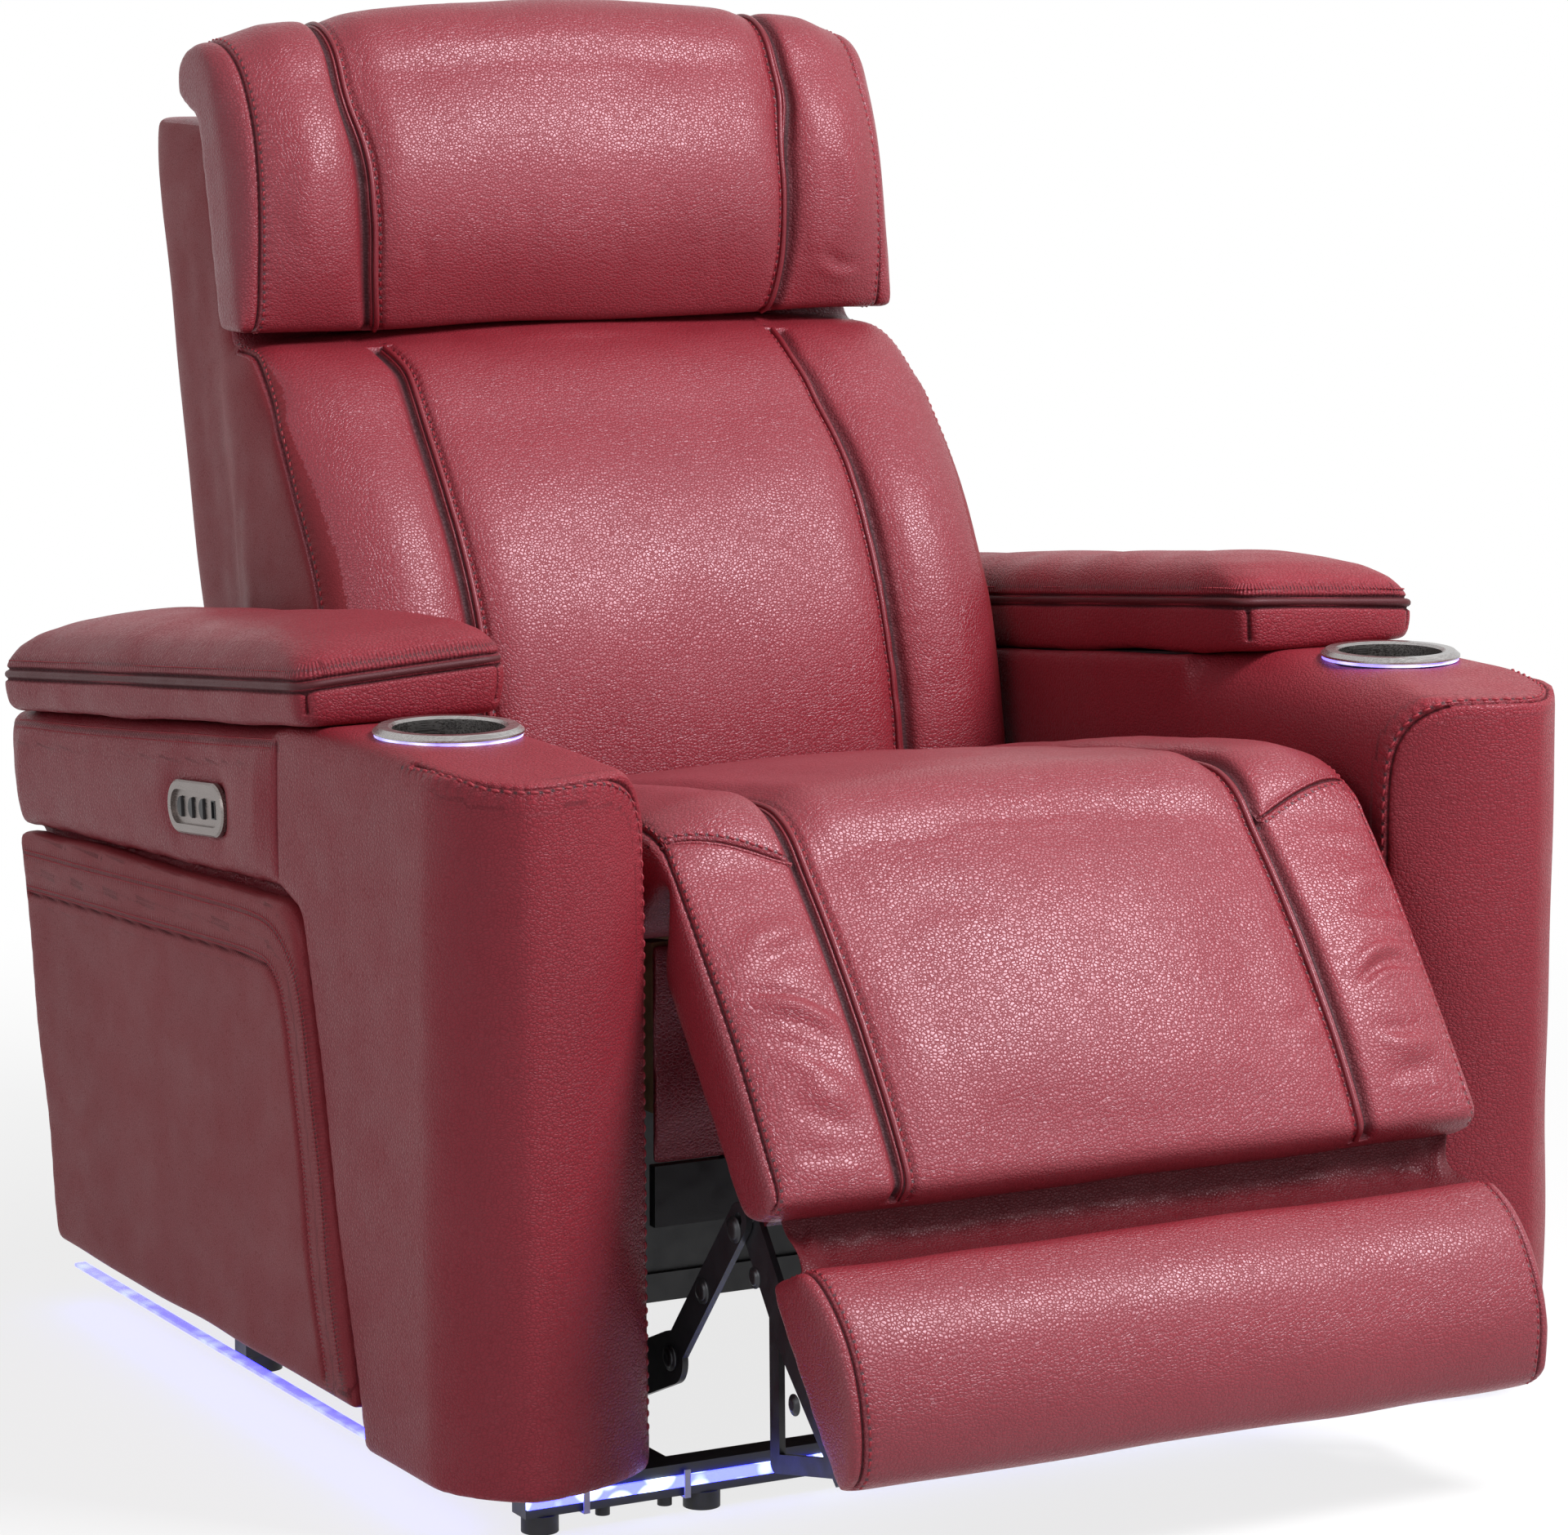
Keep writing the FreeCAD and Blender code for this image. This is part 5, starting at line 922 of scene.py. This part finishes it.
def sew_single(name, obj, lines, where, shift=-0.0045, stitch=COARSE, strong=0.35, lip=0.0,
               ends=0.012, fine=2):
    """Press plain seams into a skin and sew a row of stitches beside each, shifted from it."""
    refine(obj, lines, 0.011, fine)
    for line in lines:
        press(obj, line, single, 0.014, single_painted_shade, ends)
    tree = surface(obj)
    rows = [line.beside(shift, tree) for line in lines]
    thread = stitches(name + "_stitches", rows, *stitch)
    extras = [thread]
    if lip:
        beside = [line.beside(lip, tree) for line in lines]
        edge = tube(name + "_edge", beside, 0.0012, 0.0001)
        wear(edge, "leather")
        extras.append(edge)
    for row in rows:
        pucker(obj, row, stitch[0], strong)
    attach(extras, where)


# Upholstery

FOLD_BLEND = ("base", "legrest", at(0, FOLD[0] + 25.2, FOLD[1] + 12.3),
              at(0, FOLD[0] - 25.2, FOLD[1] - 12.3))


# Folds in the bolsters of the footrest: points across and along it in mm, width and height in mm.
FOLDS = (
    (((-287, 86), (-262, 71), (-236, 62), (-204, 64)), 11, 2.6),
    (((-296, 106), (-258, 112), (-227, 126), (-202, 148)), 5.0, -2.0),
    (((-284, 124), (-256, 122), (-227, 139), (-206, 162)), 8, 2.4),
    (((-292, 152), (-262, 150), (-236, 168), (-210, 186)), 9, -1.6),
    (((-262, 176), (-240, 196), (-214, 204)), 13, 2.6),
    (((-296, 226), (-262, 238), (-212, 236)), 9, -1.0),
    (((236, 30), (262, 26), (300, 34)), 9, 1.2),
    (((246, 78), (282, 67), (312, 76)), 10, 2.3),
    (((238, 97), (272, 95), (312, 100)), 7, -1.2),
    (((250, 112), (276, 110), (314, 110)), 9, 1.7),
    (((218, 156), (240, 137), (264, 128), (304, 132)), 6.5, 3.2),
    (((214, 170), (236, 152), (262, 143), (306, 148)), 4.5, -2.0),
    (((222, 186), (250, 197), (292, 194)), 7, -1.8),
    (((226, 212), (252, 211), (288, 208)), 11, 2.4),
    (((218, 234), (250, 230), (284, 228)), 7, -1.1),
    (((146, 184), (168, 178), (192, 178)), 8, -1.5),
    (((-150, 60), (-100, 52), (-40, 66)), 14, -0.8),
)


def mirrored(points, tree, aimed=True):
    """The left and the right line through points that are given for the left side.

    The across side of an aimed line points away from the middle plane."""
    out = []
    for sign in (1, -1):
        line = Line([(sign * x, y, z) for x, y, z in points], tree)
        if aimed and (line.across[:, 0].mean() > 0) != (sign > 0):
            line.across = -line.across
        out.append(line)
    return out


def run_at(x, *places):
    """Points at one place across, from depths and heights."""
    return [at(x, depth, height) for depth, height in places]


SEAT_PIPE = run_at(195, (470, 463), (298, 489), (150, 510), (76, 517), (30, 510), (2, 487))
SEAT_PIPE += [on_pad(195, 40, 0), on_pad(195, 135, 0), on_pad(195, 210, 0), on_pad(195, 262, -2),
              on_pad(197, 270, -24)]
SEAT_CROSS = [at(309, 24, 507), at(280, 16, 508), at(250, 6, 503), at(202, -8, 488)]
SEAT_OUTER = [at(303, 120, 508), at(303, 60, 510), at(303, 22, 502), at(302, 2, 482),
              on_pad(302, 40, 0), on_pad(302, 135, 4), on_pad(302, 215, 1), on_pad(301, 262, -4),
              on_pad(300, 268, -24)]
FOOT_GUSSET = [on_pad(291, along, out) for along, out in
               ((308, -50), (316, -26), (322, -8), (345, 4), (390, 11), (435, -2), (466, -20),
                (474, -34), (472, -52))]
BACK_PIPE = [at(*place) for place in
             ((187, 756, 811), (187, 728, 811), (187, 704, 802), (187, 686, 775), (187, 664, 740),
              (188, 628, 690), (189, 588, 640), (190, 556, 584), (191, 540, 520),
              (193, 530, 450), (194, 530, 385))]
BACK_OUTER = run_at(303, (806, 811), (784, 810), (764, 803), (742, 786), (716, 760), (672, 705),
                    (636, 650), (610, 595), (595, 530), (588, 450))
BACK_REAR = run_at(262, (1000, 960), (985, 880), (950, 720), (915, 560), (880, 400), (850, 260))
HEADREST_PIPE = [at(*place) for place in
                 ((206, 885, 1062), (206, 862, 1084), (206, 830, 1086), (205, 795, 1064),
                  (203, 765, 1020), (201, 742, 960), (200, 737, 914), (197, 742, 870),
                  (190, 758, 826), (185, 778, 816))]
HEADREST_GUSSET = run_at(297, (890, 1040), (868, 1058), (835, 1062), (800, 1042), (776, 1000),
                         (762, 950), (758, 905), (760, 865), (766, 832), (790, 819))


def make_chaise():
    nodes = ["seat_cushion", "legrest_pad"]
    seat = soft("seat_and_calf_cushion", nodes, 0.006, 7)

    def lines(tree):
        return (mirrored(SEAT_PIPE, tree), mirrored(SEAT_CROSS, tree, False),
                mirrored(SEAT_OUTER, tree))

    seams = sum(lines(surface(seat)), [])
    puff(seat, nodes, seams, 0.010, 4.0, 0.3175, face_side)
    subdivide(seat)
    ripple(seat, 0.14, 0.0007, 3)
    tree = surface(seat)
    for points, width, height in FOLDS:
        wrinkle(seat, tree, [on_pad(x, along, 4) for x, along in points], width * MM, height * MM)
    pipes, crosses, outers = lines(surface(seat))
    sew_single("calf_outer", seat, outers, FOLD_BLEND, -0.0035)
    sew_single("calf_cross", seat, crosses, FOLD_BLEND, -0.0050, lip=0.0016)
    sew_piped("seat", seat, pipes, FOLD_BLEND)
    dress(seat, "leather", nodes, FOLD_BLEND)


def make_ottoman():
    nodes = ["ottoman_pad"]
    pad = soft("foot_cushion", nodes, 0.005, 7)
    puff(pad, nodes, mirrored(FOOT_GUSSET, surface(pad)), 0.008, 4.0, 0.307, face_side)
    subdivide(pad)
    ripple(pad, 0.12, 0.0006, 5)
    sew_single("foot_gusset", pad, mirrored(FOOT_GUSSET, surface(pad)), "ottoman")
    dress(pad, "leather", nodes, "ottoman")


def make_back():
    """The back cushion and the leather of the back's sides and rear, sewn as one skin."""
    nodes = ["back_cushion", "back_board", "back_shell"]
    pad = soft("back_leather", nodes, 0.007, 5)
    co, up = coords(pad.data), normals(pad.data)
    side = (np.abs(co[:, 0]) > 0.284) & (np.abs(up[:, 0]) > 0.45) & (co[:, 1] > at(0, 700, 0)[1])
    relax(pad, 40, 0.5, 1.0 - side.astype(float))

    tree = surface(pad)
    seams = mirrored(BACK_PIPE, tree) + mirrored(BACK_OUTER, tree)

    def cushion(co, up):
        return face_side(co, up) * np.clip((0.302 - np.abs(co[:, 0])) / 0.01, 0, 1)

    puff(pad, nodes, seams, 0.009, 3.0, 0.3185, cushion)
    subdivide(pad)
    ripple(pad, 0.16, 0.0008, 8)
    tree = surface(pad)
    for sign in (1, -1):
        for y, z0, z1, deep in ((760, 420, 640, 1.6), (700, 380, 560, 1.3), (800, 470, 760, 1.0)):
            points = [at(sign * 300, y - 0.1 * (z - z0), z) for z in np.linspace(z0, z1, 4)]
            wrinkle(pad, tree, points, 0.012, deep * MM)
    tree = surface(pad)
    sew_single("back_outer", pad, mirrored(BACK_OUTER, tree), "back", ends=0.003)
    sew_piped("back", pad, mirrored(BACK_PIPE, tree), "back")
    add_back_seams(pad)
    dress(pad, "leather", ["back_cushion", "back_shell", "back_board"], "back")
    co, up = coords(pad.data), normals(pad.data)
    # painted shade: faces turned sideways or to the rear wear the darker copy of the leather
    shaded_faces = (np.abs(up[:, 0]) > 0.62) & (np.abs(co[:, 0]) > 0.28)
    shaded_faces |= (up[:, 1] > 0.3) & (co[:, 1] > at(0, 780, 0)[1])
    second_paint(pad, "side", shaded_faces)


def add_back_seams(pad):
    """The seams on the rear of the back: one down each side and one under the top edge."""
    tree = surface(pad)
    rear = mirrored(BACK_REAR, tree, False)
    rear.append(Line([at(x, 1000, 940) for x in (-255, -120, 0, 120, 255)], tree))
    sew_single("back_rear", pad, rear, "back", -0.004, fine=1)


def make_headrest():
    nodes = ["headrest_pad"]
    pad = soft("headrest_leather", nodes, 0.0055, 6)
    tree = surface(pad)
    seams = mirrored(HEADREST_PIPE, tree) + mirrored(HEADREST_GUSSET, tree)
    puff(pad, nodes, seams, 0.010, 4.0, 0.3225, face_side)
    subdivide(pad)
    ripple(pad, 0.14, 0.0008, 12)
    tree = surface(pad)
    for points, width, height in (
            (((-235, 745, 985), (-262, 742, 930), (-250, 745, 880)), 14, 1.4),
            (((-160, 742, 905), (-150, 744, 870), (-158, 752, 835)), 8, -1.0),
            (((-60, 745, 940), (-52, 742, 890), (-64, 752, 840)), 10, -0.8),
            (((40, 745, 950), (46, 742, 900), (38, 752, 850)), 11, 0.9),
            (((120, 745, 930), (128, 744, 880), (118, 754, 840)), 9, -0.8),
            (((240, 745, 980), (262, 742, 930), (252, 745, 870)), 12, 1.5),
            (((228, 748, 880), (250, 748, 860), (282, 752, 862)), 7, -1.4)):
        wrinkle(pad, tree, [at(*p) for p in points], width * MM, height * MM)
    tree = surface(pad)
    sew_single("headrest_gusset", pad, mirrored(HEADREST_GUSSET, tree), "headrest")
    sew_piped("headrest", pad, mirrored(HEADREST_PIPE, tree), "headrest")
    dress(pad, "leather", nodes, "headrest")


def make_apron():
    """The leather panel under the seat's front edge, wrapped round the frame behind it."""
    apron = soft("seat_front_leather", ["front_apron", "seat_front_rail"], 0.004, 3)
    subdivide(apron)
    co, up = coords(apron.data), normals(apron.data)
    amount = 0.0012 * waves(co, 0.09, 21) * (up[:, 1] < -0.5)
    set_coords(apron, co + up * amount[:, None])
    wear(apron, "leather")
    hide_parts("front_apron", "seat_front_rail")
    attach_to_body(apron, "base")


LID_FALL = math.radians(6.39)     # the slope of the arm's top to the rear
LID_IN, LID_OUT = 328, 503.5      # the lid's inner and outer edges across
LID_FRONT, LID_REAR = 213, 846    # and its ends along the slope
BREAK = (204, 576)                # depth and height where the arm's top starts to slope
LID_BORDER = 43                   # height of the sunk piping over the lid's foot
LID_LEAN = 11                     # how much lower the piping lies at the outer edge


def on_lid(sign, x, y, height):
    """A place on a lid from its own flat coordinates: the lid slopes back and leans outward."""
    lean = LID_LEAN * min(1.0, max(0.0, height) / LID_BORDER) / (LID_OUT - LID_IN)
    z = height - lean * (x - LID_IN)
    run = y - BREAK[0]
    depth = BREAK[0] + run * math.cos(LID_FALL) + z * math.sin(LID_FALL)
    up = BREAK[1] - run * math.sin(LID_FALL) + z * math.cos(LID_FALL)
    return at(sign * x, depth, up)


def lid_path(sign, height, sides=0.0, front=0.0, rear=0.0, corner=15.0):
    """Points round a lid at a height above its foot, set in from its sides, front and rear."""
    gap = 60.0
    x0, x1, y0, y1 = LID_IN + sides, LID_OUT - sides, LID_FRONT + front, LID_REAR - rear
    r = min(corner, 0.48 * (x1 - x0))
    flat = []
    for cx, cy, start in ((x1 - r, y0 + r, -90), (x1 - r, y1 - r, 0), (x0 + r, y1 - r, 90),
                          (x0 + r, y0 + r, 180)):
        for k in range(7):
            a = math.radians(start + 15 * k)
            flat.append((cx + r * math.cos(a), cy + r * math.sin(a)))
    full = []
    for (ax, ay), (bx, by) in zip(flat, flat[1:] + flat[:1]):
        full.append((ax, ay))
        steps = int(math.hypot(bx - ax, by - ay) // gap)
        for k in range(1, steps + 1):
            full.append((ax + (bx - ax) * k / (steps + 1), ay + (by - ay) * k / (steps + 1)))
    return [on_lid(sign, x, y, height) for x, y in full]


def lid_form(sign):
    """The lid's form: an undercut foot, a plain border and a crown that falls away at its ends."""
    levels = ((10.5, 10.5, 10.5, 0, 15), (6.0, 6.0, 6.0, 1.5, 16), (2.6, 2.6, 2.6, 8, 17),
              (0.8, 0.8, 0.8, 18, 18), (0, 0, 0, 28, 18), (0, 0, 0, 40, 18),
              (0.5, 0.5, 0.5, 46, 19), (3.0, 4.0, 4.0, 55, 22), (8.0, 13, 12, 65, 28),
              (17, 32, 28, 74, 36), (32, 62, 50, 80.5, 44), (52, 102, 84, 84.0, 34),
              (70, 150, 120, 85.0, 16))
    verts = []
    count = 240
    for sides, front, rear, height, corner in levels:
        ring = even(lid_path(sign, height, sides, front, rear, corner), 0.006, True)[:-1]
        marks = np.linspace(0, len(ring), count, endpoint=False)
        places = np.arange(len(ring) + 1)
        closed = np.vstack([ring, ring[:1]])
        ring = np.stack([np.interp(marks, places, closed[:, k]) for k in range(3)], 1)
        verts += [tuple(v) for v in ring]
    faces = ring_faces(0, len(levels), count)
    faces.append(tuple(range(count))[::-1])
    faces.append(tuple(range(len(verts) - count, len(verts))))
    return verts, faces


def make_lid(side, sign):
    body = side + "_lid"
    lid = soft(side + "_lid_leather", lid_form(sign), 0.0045, 3)
    subdivide(lid)
    tree = surface(lid)
    groove = Line(lid_path(sign, LID_BORDER), tree, True)
    corners = [Line([on_lid(sign, x, y, h) for h in (40, 30, 20, 10, 4)], tree)
               for y in (LID_FRONT + 0.5, LID_REAR - 0.5) for x in (334, 498)]
    refine(lid, [groove] + corners, 0.013)
    press(lid, groove, sunk, 0.016, sunk_painted_shade)
    for corner in corners:
        press(lid, corner, single, 0.012, single_painted_shade, 0.004)
    tree = surface(lid)
    cord = tube(side + "_lid_piping", [groove.beside(0.0, tree)], 0.0034, -0.0014, 10)
    # painted shade: the sunk cord wears the near-black groove leather
    wear(cord, "band")
    row = Line(lid_path(sign, 54, 2.5, 3.5, 3.5, 21), tree, True)
    thread = stitches(side + "_lid_stitches", [row], *FINE)
    pucker(lid, row, FINE[0], 1.0, 0.016)
    ripple(lid, 0.13, 0.0008, 31 + sign)
    dress(lid, "arm", [body], body)
    attach([cord, thread], body)


def roll_band(arm, sign):
    """Fill out the stuffed band under the lid, with a dimple round the switches."""
    co, up = coords(arm.data), normals(arm.data)
    depth = (co[:, 1] - FRONT) / MM
    height = co[:, 2] / MM
    fall = math.tan(LID_FALL)
    top = BREAK[1] - 0.5 - fall * (depth - BREAK[0])
    low = 443.5 - 0.6 * fall * (depth - 292)
    share = np.clip((height - low) / np.maximum(top - low, 1), 0, 1)
    facing = np.clip((sign * up[:, 0] - 0.2) / 0.5, 0, 1)
    behind = np.clip((depth - 296) / 26, 0, 1) * np.clip((852 - depth) / 30, 0, 1)
    behind = behind * (height > low - 4) * (sign * co[:, 0] > 0.45)
    amount = 5.5 * (1 - (2 * share - 1) ** 2) - 2.5 * np.abs(2 * share - 1) ** 6
    if sign < 0:
        away = np.hypot(depth - 440, height - 481.5)
        amount = amount * (1 - np.exp(-(away / 62) ** 4)) - 1.2 * np.exp(-((away - 50) / 14) ** 2)
    co[:, 0] += sign * amount * MM * facing * behind
    set_coords(arm, co)


def make_arm(side, sign):
    nodes = [side + "_arm_pillar", side + "_side_band", side + "_arm_box"]
    arm = soft(side + "_arm_leather", nodes, 0.0045, 5)
    roll_band(arm, sign)
    ripple(arm, 0.15, 0.0006, 50 + sign)
    tree = surface(arm)
    places = ((486, 60, 572), (470, -4, 565), (440, -38, 566), (400, -34, 566), (366, -22, 561),
              (338, -8, 545), (325, 0, 510), (323, 2, 430), (323, 2, 300), (323, 2, 180),
              (323, 2, 60))
    front = Line([at(sign * x, y, z) for x, y, z in places], tree)
    sew_single(side + "_arm_front", arm, [front], "base", 0.004, FRONT_STITCH, 0.8)
    upright = Line([at(sign * 490, y, z) for y, z in ((292, 562), (292, 500), (290, 446))], tree)
    top = Line([at(sign * 490, 300, 552), at(sign * 492, 450, 536), at(sign * 492, 650, 514),
                at(sign * 490, 840, 494)], tree)
    refine(arm, [upright, top], 0.012)
    press(arm, upright, single, 0.016, single_painted_shade)
    tree = surface(arm)
    rows = [top.beside(0.0035, tree), top.beside(-0.0035, tree)]
    thread = stitches(side + "_band_stitches", rows, *FINE)
    pucker(arm, top, FINE[0], 1.0, 0.017)
    attach([thread], "base")
    dress(arm, "arm", nodes, "base")


def make_side_panel(side, sign):
    panel = soft(side + "_side_leather", [side + "_side_panel"], 0.0045, 4)
    ripple(panel, 0.16, 0.0007, 41 + sign)
    tree = surface(panel)
    x = sign * 495
    places = ((820, 352), (650, 363), (480, 373), (330, 381), (292, 374), (276, 350), (262, 300),
              (238, 200), (208, 74))
    border = Line([at(x, y, z) for y, z in places], tree)
    refine(panel, [border], 0.012)
    press(panel, border, single, 0.016, single_painted_shade)
    tree = surface(panel)
    up = 1 if border.across[5][2] > 0 else -1
    rows = [border.beside(up * 0.005, tree), border.beside(up * 0.035, tree)]
    pairs = [row.beside(shift, tree) for row in rows for shift in (0.002, -0.002)]
    thread = stitches(side + "_panel_stitches", pairs, *FINE)
    for row in rows:
        pucker(panel, row, FINE[0])
    attach([thread], "base")
    # painted shade: the side panel wears the darker copy of the leather
    dress(panel, "side", [side + "_side_panel"], "base")


def turned_heads(name, body, places, radius=0.0075, tall=0.0035):
    """Domed rivet heads with a washer, on the outer faces of links and plates."""
    profile = ((1.35, 0.0), (1.35, 0.28), (1.0, 0.30), (0.97, 0.62), (0.80, 0.88), (0.45, 1.0),
               (0.2, 0.9))
    sides = 20
    verts, faces = [], []
    for centre, way in places:
        first = len(verts)
        for r, h in profile:
            for k in range(sides):
                a = 2 * math.pi * k / sides
                verts.append((centre[0] + way * h * tall, centre[1] + r * radius * math.cos(a),
                              centre[2] + r * radius * math.sin(a)))
        faces += ring_faces(first, len(profile), sides)
        faces.append(tuple(first + (len(profile) - 1) * sides + k for k in range(sides)))
    heads = new_object(name, verts, faces)
    wear(heads, "motor")
    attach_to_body(heads, body)


def make_rivets():
    def on_face(x, way, *places):
        return [(at(s * x, y, z), s * way) for s in (1, -1) for y, z in places]

    turned_heads("plate_rivets", "base", on_face(303.4, -1, (123.5, 369.5), (160, 250), (230, 160),
                                                 (330, 120), (120, 110)))
    turned_heads("lower_link_rivets", "lower_links", on_face(
        290.1, 1, (131, 70.5), (32.5, 112), (-20, 175), (-70, 232)))
    turned_heads("bracket_rivets", "ottoman", on_face(283.9, 1, (-90, 200), (-150, 120)),
                 0.006, 0.003)


def make_under_lights():
    """The light strips under both arms, which colour the lower edges of the leather."""
    for side, sign in SIDES:
        verts = []
        for depth in (30, 200, 400, 600, 790):
            for dx, dz in ((-5, -1.5), (5, -1.5), (5, 1.5), (-5, 1.5)):
                verts.append(at(sign * 462 + dx, depth, 34.0 + dz))
        faces = ring_faces(0, 5, 4)
        faces += [(3, 2, 1, 0), tuple(len(verts) - 4 + k for k in range(4))]
        strip = new_object(side + "_under_light", verts, faces, False)
        round_off = strip.modifiers.new("soft_edges", "BEVEL")
        round_off.width = 0.0007
        round_off.segments = 2
        settle(strip)
        wear(strip, "glow")
        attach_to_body(strip, "base")


def make_bridge():
    """The crumpled leather between the calf pad and the foot pad."""
    wide, deep = 130, 30
    sin = math.sin
    rng = np.random.default_rng(17)
    phases = rng.uniform(0, 6.28, 6)
    half = 290
    grid = np.zeros((wide + 1, deep + 1, 3))
    for i in range(wide + 1):
        x = -half + 2 * half * i / wide
        edge = min(1.0, (half - abs(x)) / 30)
        for j in range(deep + 1):
            t = j / deep
            along = 256 + 60 * t
            belly = sin(math.pi * t)
            sag = -24 - 20 * belly * (0.5 + 0.5 * edge)
            lively = 0.22 + 0.9 * math.exp(-((half - abs(x)) / 42) ** 2)
            crumple = 4.4 * sin(x * 0.05 + phases[0] + 5 * t) * sin(x * 0.021 + phases[1])
            crumple += 2.6 * sin(x * 0.11 + phases[2] - 6 * t) * sin(x * 0.034 + phases[3])
            crumple += 1.6 * sin(x * 0.23 + phases[4] + 9 * t)
            grid[i, j] = on_pad(x - 6 * math.copysign(1, x) * (1 - edge) * belly, along,
                                sag + crumple * lively * belly)
    verts = grid.reshape(-1, 3)
    faces = []
    for i in range(wide):
        for j in range(deep):
            a = i * (deep + 1) + j
            faces.append((a, a + 1, a + deep + 2, a + deep + 1))
    across = np.linalg.norm(np.diff(grid, axis=0), axis=2).sum(0).mean()
    down = np.linalg.norm(np.diff(grid, axis=1), axis=2).sum(1).mean()
    cover = new_object("bridging_leather", verts, faces)
    thick = cover.modifiers.new("thick", "SOLIDIFY")
    thick.thickness = 0.0014
    settle(cover)
    subdivide(cover)
    # painted shade: the bridge wears the darkened leather
    wear(cover, "dark_shaded_leather")
    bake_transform(cover)


def main():
    make_camera()
    make_world()
    make_floor()
    lamp("key", (1.28, -1.75, 2.85), (0.0, -0.15, 0.6), (1.2, 1.2), 124)
    lamp("front", (2.0, -3.2, 1.1), (0.0, -0.2, 0.6), (1.0, 1.6), 6)
    lamp("left", (-2.6, -1.4, 1.9), (-0.2, -0.1, 0.5), (1.6, 1.6), 20)
    make_materials()
    paint_nodes()
    make_chaise()
    make_ottoman()
    make_back()
    make_headrest()
    make_apron()
    make_bridge()
    for side, sign in SIDES:
        make_lid(side, sign)
        make_arm(side, sign)
        make_side_panel(side, sign)
    make_rivets()
    make_under_lights()
    bpy.context.scene.view_settings.view_transform = "Standard"


main()
